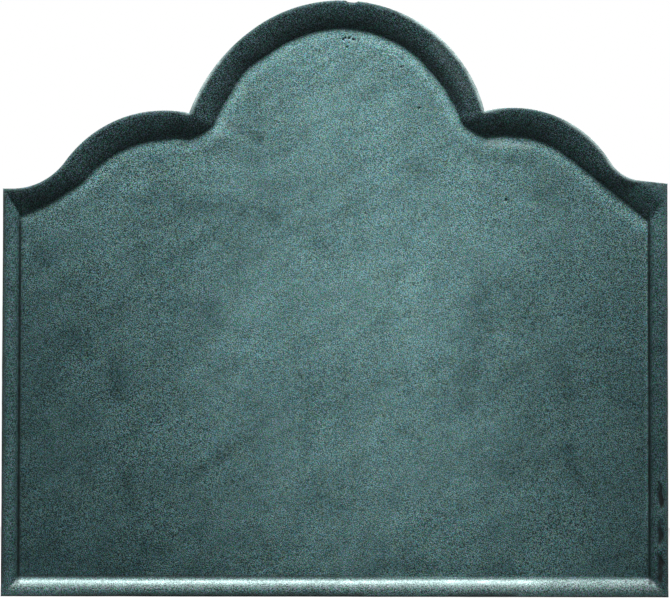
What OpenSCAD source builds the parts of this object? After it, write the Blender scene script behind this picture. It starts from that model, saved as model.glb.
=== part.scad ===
// A plain fireback: a cast-iron plate with a moulded rim and a shaped top. It stands on the
// hearth on its own lower edge, and two cast legs bolted to its back keep it upright.
//
// Millimetres. +X runs along the width, as seen from the front, +Z is up, and the moulded
// front faces -Y. The origin is the middle of the plate's lower edge, in width and thickness.
//
// The casting is drawn lying on its back, front upwards, and then stood up. Its outline is a
// chain of straight runs and arcs that meet on shared radii. Each half has a chain of its own,
// because the pattern that the plate was cast from is not quite symmetrical. The skin between
// back and panel is built in stations along that chain.

/* [Casting] */
// Overall width of the plate
plate_w = 610; // [540:1:800]
// Overall height, to the top of the arch
plate_h = 547.5; // [460:0.5:800]
// Thickness of the flat panel
panel_t = 12; // [8:0.5:20]
// How far the rim stands out in front of the panel
rim_rise = 10; // [6:0.5:13]

/* [Rim moulding] */
// Width of the moulding along the shaped top
top_rim_w = 27; // [18:0.5:34]
// Width of the moulding up the left side
left_rim_w = 15.6; // [15:0.1:30]
// Width of the moulding up the right side
right_rim_w = 17.3; // [15:0.1:30]
// Width of the moulding along the bottom
bottom_rim_w = 17.5; // [15:0.1:30]
// Rounding of the rim's outer front edge
arris_r = 1.5; // [0.5:0.1:3]
// Flat between that rounding and the rim's curve
flat_w = 1; // [0.5:0.1:3]
// Slope in degrees of the moulding's straight inner edge under the right cove
right_run_slope = 40; // [34:1:46]

/* [Arch] */
// How far the arch's centre line lies to the right of the middle of the plate
arch_shift = 5.3; // [0:0.1:20]
// Radius of the crown of the arch
crown_r = 137; // [115:1:150]
// Angle of the crown's arc on each side of the centre line, in degrees
crown_half_angle = 36; // [25:1:45]

/* [Left flank] */
// Distance of the left notch from the arch's centre line
left_notch_x = 139.8; // [125:0.1:150]
// Drop from the top of the arch to the left notch
left_notch_drop = 104.2; // [93:0.1:125]
// Radius of the left shoulder
left_shoulder_r = 112; // [95:1:150]
// Radius of the left cove
left_cove_r = 60; // [40:1:75]
// Length of the level edge between the left corner and the cove
left_land = 8; // [3:0.5:20]
// Drop from the top of the arch to the left corner
left_corner_drop = 174.1; // [150:0.1:205]

/* [Right flank] */
// Distance of the right notch from the arch's centre line
right_notch_x = 131.7; // [120:0.1:145]
// Drop from the top of the arch to the right notch
right_notch_drop = 102; // [93:0.1:125]
// Radius of the right shoulder
right_shoulder_r = 106; // [95:1:140]
// Radius of the right cove
right_cove_r = 35.5; // [25:0.5:50]
// Length of the sloping edge between the right corner and the cove
right_land = 26; // [10:0.5:35]
// Slope of that edge, in degrees
right_land_slope = 6.5; // [0:0.5:12]
// Drop from the top of the arch to the right corner
right_corner_drop = 168.5; // [150:0.1:195]

/* [Bosses on the back] */
// Diameter of a boss at its face
boss_d = 30; // [24:0.5:40]
// How far a boss stands out from the back
boss_rise = 6; // [3:0.5:10]
// Taper of a boss, so that it leaves the sand: the growth in radius at its root
boss_draft = 1.5; // [0.5:0.1:3]
// Iron left in front of a tapped hole
front_skin = 4; // [3:0.5:6]
// Spacing of the two holes for wall ties
tie_spacing = 300; // [200:1:360]
// Drop from the top of the arch to the wall-tie holes
tie_drop = 167.5; // [150:0.5:220]

/* [Legs] */
// Spacing of the two legs
leg_spacing = 380; // [200:1:440]
// Width of a leg
leg_w = 32; // [28:0.5:45]
// Thickness of a leg's upright
upright_t = 7; // [5:0.5:12]
// Thickness of a leg's foot
foot_t = 8; // [5:0.5:12]
// Length of the foot behind the boss faces
foot_len = 120; // [105:1:200]
// Length of the web's two straight edges
web_size = 70; // [40:1:76]
// Thickness of the web
web_t = 7; // [4:0.5:12]
// Height left at the web's two ends
web_toe = 6; // [3:0.5:12]
// Distance from the top of the web to the lower bolt
lower_bolt_gap = 20; // [16:0.5:40]
// Distance between a leg's two bolts
bolt_pitch = 52; // [36:0.5:90]

/* [Fasteners] */
// Thread diameter of the bolts
bolt_d = 10; // [8:0.5:12]
// Width of a bolt's head across its flats
head_w = 17; // [15:0.5:19]
// Thickness of a bolt's head
head_t = 6.4; // [4:0.1:9]
// Chamfer at the corners of the head and the tip of the shank
bolt_chamfer = 1; // [0.4:0.1:1.5]
// Diameter of a flat washer
flat_washer_d = 20; // [18:0.5:24]
// Thickness of a flat washer
flat_washer_t = 2; // [1:0.1:3]
// Diameter of a spring washer
spring_washer_d = 18; // [16:0.5:20]
// Thickness of a spring washer
spring_washer_t = 2.5; // [1.5:0.1:3.5]
// Width of the split in a spring washer
spring_washer_split = 2; // [1:0.1:4]

/* [Fits] */
// Radial clearance of a bolt in its tapped hole
thread_clearance = 0.05; // [0.02:0.01:0.1]
// Radial clearance of a bolt in its washers
washer_clearance = 0.25; // [0.1:0.05:0.5]
// Radial clearance of a bolt in the hole through a leg
leg_hole_clearance = 0.5; // [0.2:0.05:1]
// Space between a bolt's tip and the bottom of its hole
tip_gap = 0.5; // [0.2:0.1:2]

/* [Hidden] */
$fn = 96;

CAST_IRON = [0.29, 0.38, 0.38];
LEG_IRON = [0.22, 0.27, 0.27];
BLACK_STEEL = [0.13, 0.14, 0.15];
ZINC = [0.66, 0.67, 0.68];

// The two halves of the outline, and the two bolts of a leg
LEFT = 0;
RIGHT = 1;
LOWER = 0;
UPPER = 1;
SIDE_SIGN = [-1, 1];
// How far a cutter runs past the surface that it cuts
over = 2;
// The casting's facets: degrees between stations on an arc and round a notch, and the steps
// across the rounded edge and across the rim's curve
facet_angle = 4;
fan_angle = 12;
arris_steps = 2;
curve_steps = 7;

edge_t = panel_t + rim_rise;
// A boss's taper runs on past the back, into the plate, so that nothing touches face to face
boss_root = boss_rise + over;
boss_root_r = boss_d / 2 + boss_draft * boss_root / boss_rise;
boss_face_y = edge_t / 2 + boss_rise;
tap_depth = boss_rise + panel_t - front_skin;
tap_r = bolt_d / 2 + thread_clearance;
bolt_stack = upright_t + flat_washer_t + spring_washer_t;
bolt_h = [
    foot_t + web_size + lower_bolt_gap,
    foot_t + web_size + lower_bolt_gap + bolt_pitch
];
tie_h = plate_h - tie_drop;
// The rows of bosses, from the bottom: each row's distance to either side, and its height. The
// first two take the legs' bolts and the last the wall ties.
boss_rows = [
    [leg_spacing / 2, bolt_h[LOWER]], [leg_spacing / 2, bolt_h[UPPER]], [tie_spacing / 2, tie_h]
];
boss_places = [for (row = boss_rows) for (side = SIDE_SIGN) [side * row.x, row.y]];

// ---- The outline's points, for [left, right]. x is the distance from the arch's centre line.
half_w = [plate_w / 2 + arch_shift, plate_w / 2 - arch_shift];
corner = [
    [half_w[LEFT], plate_h - left_corner_drop], [half_w[RIGHT], plate_h - right_corner_drop]
];
land = [left_land, right_land];
land_slope = [0, right_land_slope];
cove_r = [left_cove_r, right_cove_r];
shoulder_r = [left_shoulder_r, right_shoulder_r];
notch = [
    [left_notch_x, plate_h - left_notch_drop], [right_notch_x, plate_h - right_notch_drop]
];
side_rim_w = [left_rim_w, right_rim_w];

function polar(c, r, a) = c + r * [cos(a), sin(a)];
function bearing(p, q) = atan2(q.y - p.y, q.x - p.x);
// Where two circles cross: the crossing on the right-hand side when looking from a to b
function crossing(a, ra, b, rb) =
    let (d = norm(b - a), t = (ra * ra - rb * rb + d * d) / (2 * d), h = sqrt(ra * ra - t * t))
    let (u = (b - a) / d)
    a + t * u + h * [u.y, -u.x];
// The radius of the arc that leaves p square to the direction u and also passes through q
function arc_radius(p, u, q) = (q - p) * (q - p) / (2 * (q - p) * u);

cove_start = [for (s = [LEFT, RIGHT]) corner[s] + land[s] * [-1, tan(land_slope[s])]];
cove_c = [for (s = [LEFT, RIGHT]) polar(cove_start[s], cove_r[s], 90 - land_slope[s])];
// A shoulder passes through its notch and touches its cove
shoulder_c = [
    for (s = [LEFT, RIGHT])
        crossing(notch[s], shoulder_r[s], cove_c[s], shoulder_r[s] + cove_r[s])
];
crown_c = [0, plate_h - crown_r];
crown_end = polar(crown_c, crown_r, 90 - crown_half_angle);
// A haunch carries the crown's arc on, at a radius of its own, down to the notch
haunch_in = (crown_c - crown_end) / crown_r;
haunch_r = [for (s = [LEFT, RIGHT]) arc_radius(crown_end, haunch_in, notch[s])];
haunch_c = [for (s = [LEFT, RIGHT]) crown_end + haunch_r[s] * haunch_in];

// The right moulding's inner edge: its straight run leaves the shoulder at run_a, and meets
// the inner edge of the side at run_corner
run_a = 90 - right_run_slope;
run_from = polar(shoulder_c[RIGHT], right_shoulder_r, run_a);
run_from_in = polar(shoulder_c[RIGHT], right_shoulder_r - top_rim_w, run_a);
function run_y(x) = run_from_in.y - (x - run_from_in.x) * tan(right_run_slope);
run_corner = [half_w[RIGHT] - right_rim_w, run_y(half_w[RIGHT] - right_rim_w)];

// ---- Stations round the outline. A station is a row of four points in plan, from the edge
// inwards: the edge, the end of its rounding, the start of the rim's curve, the rim's foot.

edge_flat = arris_r + flat_w;
top_curve_w = top_rim_w - edge_flat;

// On a smooth stretch: n points inwards from p, and the foot is at q
function smooth_station(p, n, q) =
    let (flat = p + edge_flat * n)
    [p, p + arris_r * n, q + (flat - q) * min(1, top_curve_w / norm(flat - q)), q];
// On a mitre: m points to where the two edges that meet at p would both be one unit away
function mitre_station(p, m, q) = [p, p + arris_r * m, p + edge_flat * m, q];

function foot_corner(s) = mitre_station(
    [half_w[s], 0], [-1, 1], [half_w[s] - side_rim_w[s], bottom_rim_w]
);
left_top_corner = mitre_station(
    corner[LEFT], [-1, -1], corner[LEFT] - [left_rim_w, top_rim_w]
);
// The right corner's moulding is wider than the rim's curve, and the rest of it is flat
right_mitre = [-1, (sin(right_land_slope) - 1) / cos(right_land_slope)];
right_flat_x = half_w[RIGHT] - edge_flat;
right_top_corner = [
    corner[RIGHT], corner[RIGHT] + arris_r * right_mitre,
    [right_flat_x, run_y(right_flat_x) + top_curve_w / cos(right_run_slope)], run_corner
];

// The foot of the moulding at p: straight below it, or on the right flank's straight run
function foot(s, p, n) =
    s == LEFT || p.x <= run_from.x
        ? p + top_rim_w * n
        : let (x = run_from_in.x + (p.x - run_from.x)
            * (run_corner.x - run_from_in.x) / (half_w[RIGHT] - run_from.x))
            [x, run_y(x)];

// Angles from a towards b, without b itself
function steps(a, b, step = facet_angle) =
    let (n = ceil(abs(b - a) / step))
    [for (i = [0 : n - 1]) a + (b - a) * i / n];
function arc_station(s, c, r, a, inwards) =
    let (p = polar(c, r, a), n = inwards * [cos(a), sin(a)])
    smooth_station(p, n, foot(s, p, n));
function notch_station(s, a) = smooth_station(notch[s], [cos(a), sin(a)], polar(notch[s], top_rim_w, a));

// One half's stations, from the bottom corner up to the crown, without the crown's top. Each
// comes with its anchor: the point of the back's frame, below, that its outer edge is joined to.
function half_stations(s) = concat(
    [[foot_corner(s), 0], [s == LEFT ? left_top_corner : right_top_corner, 2]],
    [for (a = steps(-90 - land_slope[s], bearing(cove_c[s], shoulder_c[s])))
        [arc_station(s, cove_c[s], cove_r[s], a, 1), 2]],
    [for (a = steps(bearing(shoulder_c[s], cove_c[s]), bearing(shoulder_c[s], notch[s])))
        [arc_station(s, shoulder_c[s], shoulder_r[s], a, -1), 3]],
    [for (a = steps(bearing(notch[s], shoulder_c[s]), bearing(notch[s], haunch_c[s]), fan_angle))
        [notch_station(s, a), 3]],
    [for (a = steps(bearing(haunch_c[s], notch[s]), 90 - crown_half_angle))
        [arc_station(s, haunch_c[s], haunch_r[s], a, -1), 4]],
    [for (a = steps(90 - crown_half_angle, 90))
        [arc_station(s, crown_c, crown_r, a, -1), 4]]
);

// Both halves in place, with the crown's top: the left half is the mirror image of what its
// values draw, and its anchors count down again
function placed(station, sign) = [for (p = station) [arch_shift + sign * p.x, p.y]];
left_half = half_stations(LEFT);
around = concat(
    [for (item = half_stations(RIGHT)) [placed(item[0], 1), item[1]]],
    [[placed(arc_station(RIGHT, crown_c, crown_r, 90, -1), 1), 4]],
    [for (i = [len(left_half) - 1 : -1 : 0]) [placed(left_half[i][0], -1), 8 - left_half[i][1]]]
);
stations = [for (item = around) item[0]];
anchors = [for (item = around) item[1]];

// ---- The back's frame: a net of points round the bosses. Each boss has a mesh of the net to
// itself, with triangles that meet at the boss's centre, so that no edge of the skin grazes it.

boss_clear = boss_root_r + over;
frame_half_w = max(leg_spacing, tie_spacing) / 2 + boss_clear;
frame_rows = [
    [frame_half_w, bolt_h[LOWER] - boss_clear],
    [frame_half_w, (bolt_h[LOWER] + bolt_h[UPPER]) / 2],
    [frame_half_w, (bolt_h[UPPER] + tie_h) / 2],
    [tie_spacing / 2 + boss_clear, tie_h + boss_clear]
];
frame_points = [for (row = frame_rows) for (side = [-1 : 1]) [side * row.x, row.y]];
// The frame's own edge as [row, column], round from the lower right: what the anchors count
frame_edge = [
    [0, 2], [1, 2], [2, 2], [3, 2], [3, 1], [3, 0], [2, 0], [1, 0], [0, 0], [0, 1]
];

// ---- The casting's skin: rings of points round the outline, from the back to the panel

function raise(p, h) = [p.x, p.y, h];
// The outer wall, the rounded edge, and the rim's curve, which is a quarter of an ellipse
function ring_heights(station) = concat(
    [raise(station[0], 0)],
    [for (i = [0 : arris_steps])
        let (a = 90 * i / arris_steps)
        raise(
            station[0] + (station[1] - station[0]) * (1 - cos(a)),
            edge_t - arris_r * (1 - sin(a))
        )],
    [for (i = [0 : curve_steps])
        let (a = 90 * i / curve_steps)
        raise(
            station[2] + (station[3] - station[2]) * sin(a),
            panel_t + rim_rise * cos(a)
        )]
);

module skin() {
    columns = [for (station = stations) ring_heights(station)];
    count = len(columns);
    rings = len(columns[0]);
    flat_points = concat(frame_points, boss_places);
    function at(column, ring) = (column % count) * rings + ring;
    function net(row, column) = count * rings + 3 * row + column;
    function edge_net(i) = let (spot = frame_edge[i % len(frame_edge)]) net(spot[0], spot[1]);
    function centre(row, s) = count * rings + len(frame_points) + 2 * row + s;
    polyhedron(
        points = concat(
            [for (column = columns) each column],
            [for (p = flat_points) raise(p, 0)]
        ),
        faces = concat(
            // The back, from the outline in to the frame
            [for (i = [0 : count - 1])
                let (from = anchors[i], to = i == count - 1 ? len(frame_edge) : anchors[i + 1])
                each concat(
                    [[at(i, 0), at(i + 1, 0), edge_net(from)]],
                    [for (j = [from : 1 : to - 1]) [at(i + 1, 0), edge_net(j + 1), edge_net(j)]]
                )],
            // The frame's meshes, round the bosses' centres
            [for (row = [0 : len(boss_rows) - 1]) for (s = [LEFT, RIGHT])
                let (loop = [net(row, s), net(row, s + 1), net(row + 1, s + 1), net(row + 1, s)])
                each [for (i = [0 : 3]) [loop[i], loop[(i + 1) % 4], centre(row, s)]]],
            // The panel, then the wall, the rounded edge and the rim's curve
            [[for (i = [count - 1 : -1 : 0]) at(i, rings - 1)]],
            [for (i = [0 : count - 1]) for (j = [0 : rings - 2]) each [
                [at(i, j), at(i, j + 1), at(i + 1, j + 1)],
                [at(i, j), at(i + 1, j + 1), at(i + 1, j)]
            ]]
        )
    );
}

// Stands the casting up, its back towards +Y
module stand_up() {
    translate([0, edge_t / 2, 0])
        rotate([90, 0, 0])
            children();
}

// Puts a thing that points backwards on the face of a boss
module on_boss(x, h) {
    translate([x, boss_face_y, h])
        rotate([-90, 0, 0])
            children();
}

module boss() {
    translate([0, 0, -boss_root])
        cylinder(h = boss_root, r1 = boss_root_r, r2 = boss_d / 2);
}

module tapped_hole() {
    translate([0, 0, -tap_depth])
        cylinder(h = tap_depth + over, r = tap_r);
}

module cast_plate() {
    color(CAST_IRON)
        difference() {
            union() {
                stand_up()
                    skin();
                for (p = boss_places)
                    on_boss(p.x, p.y)
                        boss();
            }
            for (p = boss_places)
                on_boss(p.x, p.y)
                    tapped_hole();
        }
}

// ---- The legs

// A cast bracket: an upright against two bosses, a foot on the hearth and a curved web
module leg(side) {
    upright_top = bolt_h[UPPER];
    color(LEG_IRON)
        translate([side * leg_spacing / 2, boss_face_y, 0])
            difference() {
                union() {
                    translate([-leg_w / 2, 0, 0])
                        cube([leg_w, upright_t, upright_top]);
                    translate([0, upright_t, upright_top])
                        rotate([90, 0, 0])
                            cylinder(h = upright_t, r = leg_w / 2);
                    translate([-leg_w / 2, 0, 0])
                        cube([leg_w, foot_len - leg_w / 2, foot_t]);
                    translate([0, foot_len - leg_w / 2, 0])
                        cylinder(h = foot_t, r = leg_w / 2);
                    translate([-web_t / 2, upright_t, foot_t])
                        web();
                }
                for (h = bolt_h)
                    translate([0, -over, h])
                        rotate([-90, 0, 0])
                            cylinder(h = upright_t + 2 * over, r = bolt_d / 2 + leg_hole_clearance);
            }
}

// The web between upright and foot, with a hollow rear edge
module web() {
    difference() {
        cube([web_t, web_size, web_size]);
        translate([-over, web_size, web_size])
            rotate([0, 90, 0])
                cylinder(h = web_t + 2 * over, r = web_size - web_toe);
    }
}

module left_leg() {
    leg(SIDE_SIGN[LEFT]);
}

module right_leg() {
    leg(SIDE_SIGN[RIGHT]);
}

// ---- The fasteners, each on the axis of its boss

module on_leg_bolt(s, level) {
    on_boss(SIDE_SIGN[s] * leg_spacing / 2, bolt_h[level])
        children();
}

// A hexagon-head bolt: a plain shank for the thread, with a chamfered tip and head
module bolt(s, level) {
    head_r = head_w / 2 / cos(30);
    shank_len = tap_depth - tip_gap + bolt_stack;
    color(BLACK_STEEL)
        on_leg_bolt(s, level)
            translate([0, 0, bolt_stack]) {
                translate([0, 0, bolt_chamfer - shank_len])
                    cylinder(h = shank_len - bolt_chamfer, r = bolt_d / 2);
                translate([0, 0, -shank_len])
                    cylinder(h = bolt_chamfer, r1 = bolt_d / 2 - bolt_chamfer, r2 = bolt_d / 2);
                intersection() {
                    cylinder(h = head_t, r = head_r, $fn = 6);
                    union() {
                        cylinder(h = head_t - bolt_chamfer, r = head_r + over);
                        translate([0, 0, head_t - bolt_chamfer])
                            cylinder(
                                h = bolt_chamfer,
                                r1 = head_w / 2 + bolt_chamfer,
                                r2 = head_w / 2
                            );
                    }
                }
            }
}

module washer_ring(d, t) {
    difference() {
        cylinder(h = t, d = d);
        translate([0, 0, -over])
            cylinder(h = t + 2 * over, r = bolt_d / 2 + washer_clearance);
    }
}

module flat_washer(s, level) {
    color(ZINC)
        on_leg_bolt(s, level)
            translate([0, 0, upright_t])
                washer_ring(flat_washer_d, flat_washer_t);
}

// A spring washer, pressed flat by its bolt, with the split at the top
module spring_washer(s, level) {
    color(ZINC)
        on_leg_bolt(s, level)
            translate([0, 0, upright_t + flat_washer_t])
                difference() {
                    washer_ring(spring_washer_d, spring_washer_t);
                    translate([-spring_washer_split / 2, -spring_washer_d, -over])
                        cube([spring_washer_split, spring_washer_d, spring_washer_t + 2 * over]);
                }
}

cast_plate();
left_leg();
right_leg();
bolt(LEFT, LOWER);  // bolt_left_lower
bolt(LEFT, UPPER);  // bolt_left_upper
bolt(RIGHT, LOWER);  // bolt_right_lower
bolt(RIGHT, UPPER);  // bolt_right_upper
flat_washer(LEFT, LOWER);  // flat_washer_left_lower
flat_washer(LEFT, UPPER);  // flat_washer_left_upper
flat_washer(RIGHT, LOWER);  // flat_washer_right_lower
flat_washer(RIGHT, UPPER);  // flat_washer_right_upper
spring_washer(LEFT, LOWER);  // spring_washer_left_lower
spring_washer(LEFT, UPPER);  // spring_washer_left_upper
spring_washer(RIGHT, LOWER);  // spring_washer_right_lower
spring_washer(RIGHT, UPPER);  // spring_washer_right_upper
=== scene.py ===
"""A plain cast-iron fireback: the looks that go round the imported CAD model.

Metres, in the CAD's own frame: +X runs along the width as seen from the front, +Z is up, and the
moulded front faces -Y. The casting is drawn lying on its back, front upwards, as rows of points
(x, height up the plate, thickness above the back), and is then stood up.
"""

import logging
import math
from dataclasses import dataclass, field
from enum import Enum

import bmesh
import bpy
import numpy as np
from mathutils import Matrix, Vector, noise
from mathutils.geometry import delaunay_2d_cdt


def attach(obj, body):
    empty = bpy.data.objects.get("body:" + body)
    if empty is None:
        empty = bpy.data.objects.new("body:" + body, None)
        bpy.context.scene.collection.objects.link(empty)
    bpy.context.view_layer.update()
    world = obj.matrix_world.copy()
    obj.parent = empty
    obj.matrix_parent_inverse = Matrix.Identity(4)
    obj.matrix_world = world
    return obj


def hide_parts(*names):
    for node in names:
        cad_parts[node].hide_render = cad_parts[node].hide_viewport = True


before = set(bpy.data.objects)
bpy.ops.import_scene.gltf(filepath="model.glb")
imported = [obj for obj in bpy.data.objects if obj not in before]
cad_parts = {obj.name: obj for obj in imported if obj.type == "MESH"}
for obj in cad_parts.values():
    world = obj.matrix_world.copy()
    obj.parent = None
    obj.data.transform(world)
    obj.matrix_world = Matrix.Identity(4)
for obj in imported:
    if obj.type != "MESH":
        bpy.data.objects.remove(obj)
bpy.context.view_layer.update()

LOG = logging.getLogger("fireback")
BODY = "root"
MM = 0.001
SEED = 11
LEG_X = 190 * MM
BOLT_H = (98 * MM, 150 * MM)

Colour = tuple[float, float, float, float]
WHITE: Colour = (1, 1, 1, 1)


class Side(Enum):
    """A half of the plate, as seen from the front, with the sign of its x."""

    LEFT = -1
    RIGHT = 1


# ---- Plan geometry


def mm(*values: float) -> tuple[float, ...]:
    """Millimetres as metres."""
    return tuple(value * MM for value in values)


def polar(centre: np.ndarray, radius: float, angle: float) -> np.ndarray:
    """The point of a circle at an angle in degrees."""
    turn = math.radians(angle)
    return centre + radius * np.array([math.cos(turn), math.sin(turn)])


def bearing(start: np.ndarray, end: np.ndarray) -> float:
    """The direction from one point to another, in degrees."""
    step = end - start
    return math.degrees(math.atan2(step[1], step[0]))


def crossing(a: np.ndarray, radius_a: float, b: np.ndarray, radius_b: float) -> np.ndarray:
    """Where two circles cross, on the right-hand side when looking from a to b.

    Args:
        a: centre of the first circle.
        radius_a: its radius.
        b: centre of the second circle.
        radius_b: its radius.

    Returns:
        The crossing.
    """
    gap = float(np.linalg.norm(b - a))
    along = (radius_a**2 - radius_b**2 + gap**2) / (2 * gap)
    aside = math.sqrt(radius_a**2 - along**2)
    unit = (b - a) / gap
    return a + along * unit + aside * np.array([unit[1], -unit[0]])


def ease(share: float) -> float:
    """A share from 0 to 1 that starts and ends gently."""
    return share * share * (3 - 2 * share)


def blend_through(stops: tuple[float, ...], share: float) -> float:
    """A value that moves smoothly through evenly spaced stops.

    Args:
        stops: the values at the stops.
        share: how far along, from 0 to 1.

    Returns:
        The value there.
    """
    place = min(max(share, 0.0), 1.0) * (len(stops) - 1)
    first = min(int(place), len(stops) - 2)
    return stops[first] + (stops[first + 1] - stops[first]) * ease(place - first)


def step_angles(start: float, end: float, step: float) -> list[float]:
    """Angles from start towards end, without end itself, no further apart than step."""
    count = max(1, math.ceil(abs(end - start) / step))
    return [start + (end - start) * i / count for i in range(count)]


def ramp(values: np.ndarray, start: float, end: float) -> np.ndarray:
    """Rises from 0 at start to 1 at end, and stays there on both sides."""
    return np.clip((values - start) / (end - start), 0, 1)


def swell(values: np.ndarray, middle: float, half_w: float, power: float = 2) -> np.ndarray:
    """A hump: 1 in the middle and about a third at half_w from it, squarer with more power."""
    return np.exp(-(np.abs((values - middle) / half_w) ** power))


@dataclass(frozen=True)
class Flank:
    """One half of the shaped top: its outline, and how wide the rim's moulding is along it."""

    notch_x: float
    notch_h: float
    shoulder_r: float
    cove_r: float
    land: float
    land_slope: float
    corner_h: float
    side_rim: float
    cove_rim: tuple[float, ...]
    shoulder_rim: tuple[float, ...]
    notch_rim: tuple[float, ...]
    haunch_rim: tuple[float, ...]


@dataclass(frozen=True)
class Outline:
    """The plate's outline with its rim, as stations of five points in plan.

    From the edge inwards, the points of a station are the edge, the end of its rounding, the
    start of the rim's curve, the rim's foot, and the end of the soft fillet at that foot. Each
    rim is a row of widths, evenly spaced along its stretch of the edge.
    """

    width: float = 610 * MM
    height: float = 547.5 * MM
    shift: float = 5.3 * MM
    crown_r: float = 137 * MM
    crown_half_angle: float = 36
    crown_rim: tuple[float, ...] = mm(27, 26.6, 25.8, 25.3)
    bottom_rim: float = 17.5 * MM
    run_slope: float = 39
    run_rim: float = 26 * MM
    curve_w: float = 24.5 * MM
    arris: float = 1.5 * MM
    flat: float = 1 * MM
    fillet: float = 1.3 * MM
    top_fillet: float = 2.6 * MM
    fillet_start: float = 20 * MM
    fillet_blend: float = 25 * MM
    fullness: float = 2.0
    top_fullness: float = 1.25
    fullness_blend: float = 60 * MM
    corner_run: float = 22 * MM
    corner_gap: float = 0.8 * MM
    corner_lean: float = 0.9
    arc_step: float = 1.7 * MM
    fan_step: float = 7
    straight_step: float = 2.2 * MM
    left: Flank = Flank(
        notch_x=139.8 * MM,
        notch_h=443.3 * MM,
        shoulder_r=112 * MM,
        cove_r=60 * MM,
        land=8 * MM,
        land_slope=0,
        corner_h=373.4 * MM,
        side_rim=15.6 * MM,
        cove_rim=mm(23.5, 20.5, 20.5, 25),
        shoulder_rim=mm(25, 26.5, 27, 26.5, 22.5),
        notch_rim=mm(22.5, 21.5, 25),
        haunch_rim=mm(25, 26, 24, 27),
    )
    right: Flank = Flank(
        notch_x=131.7 * MM,
        notch_h=445.5 * MM,
        shoulder_r=106 * MM,
        cove_r=35.5 * MM,
        land=26 * MM,
        land_slope=6.5,
        corner_h=379 * MM,
        side_rim=17.3 * MM,
        cove_rim=mm(24, 24),
        shoulder_rim=mm(26, 26.8, 26.4, 25.8, 23.5),
        notch_rim=mm(23.5, 21, 23.5),
        haunch_rim=mm(23.5, 26.5, 28, 27),
    )

    def flank(self, side: Side) -> Flank:
        """The sizes of one half."""
        return self.left if side is Side.LEFT else self.right

    def half_w(self, side: Side) -> float:
        """Distance from the arch's centre line to the plate's side."""
        return self.width / 2 - side.value * self.shift

    def corner(self, side: Side) -> np.ndarray:
        """The plate's top corner on one side."""
        return np.array([self.half_w(side), self.flank(side).corner_h])

    def notch(self, side: Side) -> np.ndarray:
        """The notch between shoulder and arch."""
        return np.array([self.flank(side).notch_x, self.flank(side).notch_h])

    def cove_centre(self, side: Side) -> np.ndarray:
        """Centre of the cove, which leaves the land square.

        Args:
            side: the half that it belongs to.

        Returns:
            The centre.
        """
        f = self.flank(side)
        start = self.corner(side) + f.land * np.array([-1, math.tan(math.radians(f.land_slope))])
        return polar(start, f.cove_r, 90 - f.land_slope)

    def shoulder_centre(self, side: Side) -> np.ndarray:
        """Centre of the shoulder, which passes through its notch and touches its cove.

        Args:
            side: the half that it belongs to.

        Returns:
            The centre.
        """
        f = self.flank(side)
        reach = f.shoulder_r + f.cove_r
        return crossing(self.notch(side), f.shoulder_r, self.cove_centre(side), reach)

    def crown_centre(self) -> np.ndarray:
        """Centre of the crown's arc."""
        return np.array([0.0, self.height - self.crown_r])

    def haunch(self, side: Side) -> tuple[np.ndarray, float]:
        """The arc that carries the crown down to the notch.

        Args:
            side: the half that it belongs to.

        Returns:
            Its centre and radius.
        """
        crown_end = polar(self.crown_centre(), self.crown_r, 90 - self.crown_half_angle)
        inwards = (self.crown_centre() - crown_end) / self.crown_r
        reach = self.notch(side) - crown_end
        radius = float(reach @ reach / (2 * reach @ inwards))
        return crown_end + radius * inwards, radius

    def run_start(self, inset: float) -> np.ndarray:
        """Where the right cove's moulding turns straight, at some distance from the edge."""
        centre, radius = self.shoulder_centre(Side.RIGHT), self.right.shoulder_r - inset
        return polar(centre, radius, 90 - self.run_slope)

    def run_y(self, x: float) -> float:
        """Height of the straight foot under the right cove, at a distance x."""
        start = self.run_start(self.run_rim)
        return float(start[1] - (x - start[0]) * math.tan(math.radians(self.run_slope)))

    def smooth(self, p: np.ndarray, n: np.ndarray, q: np.ndarray, m: np.ndarray) -> np.ndarray:
        """A station on a smooth stretch.

        Args:
            p: the point on the edge.
            n: the direction inwards there.
            q: the rim's foot.
            m: the direction inwards at the foot.

        Returns:
            The station's five points.
        """
        flat = p + (self.arris + self.flat) * n
        start = q + (flat - q) * min(1, self.curve_w / float(np.linalg.norm(flat - q)))
        from_corner = (self.width / 2 - self.fillet_start - float(q[0])) / self.fillet_blend
        inset = self.fillet + (self.top_fillet - self.fillet) * min(1, max(0, from_corner))
        return np.array([p, p + self.arris * n, start, q, q + inset * m])

    def mitre(self, p: np.ndarray, m: np.ndarray, q: np.ndarray) -> np.ndarray:
        """A station on a mitre: m points to where both edges would be one unit away."""
        flat = p + (self.arris + self.flat) * m
        return np.array([p, p + self.arris * m, flat, q, q + self.fillet * m])

    def top_corner(self, side: Side) -> np.ndarray:
        """The mitred station of a top corner.

        Args:
            side: the half that it belongs to.

        Returns:
            The station's five points.
        """
        p = self.corner(side)
        if side is Side.LEFT:
            return self.mitre(p, np.array([-1.0, -1.0]), p - [self.left.side_rim, self.left.cove_rim[0]])
        slope = math.radians(self.right.land_slope)
        m = np.array([-1.0, (math.sin(slope) - 1) / math.cos(slope)])
        flat_x = p[0] - self.arris - self.flat
        foot_x = p[0] - self.right.side_rim
        in_x = foot_x - self.fillet
        drop = math.cos(math.radians(self.run_slope))
        return np.array([
            p,
            p + self.arris * m,
            [flat_x, self.run_y(flat_x) + self.curve_w / drop],
            [foot_x, self.run_y(foot_x)],
            [in_x, self.run_y(in_x) - self.fillet / drop],
        ])

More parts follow.
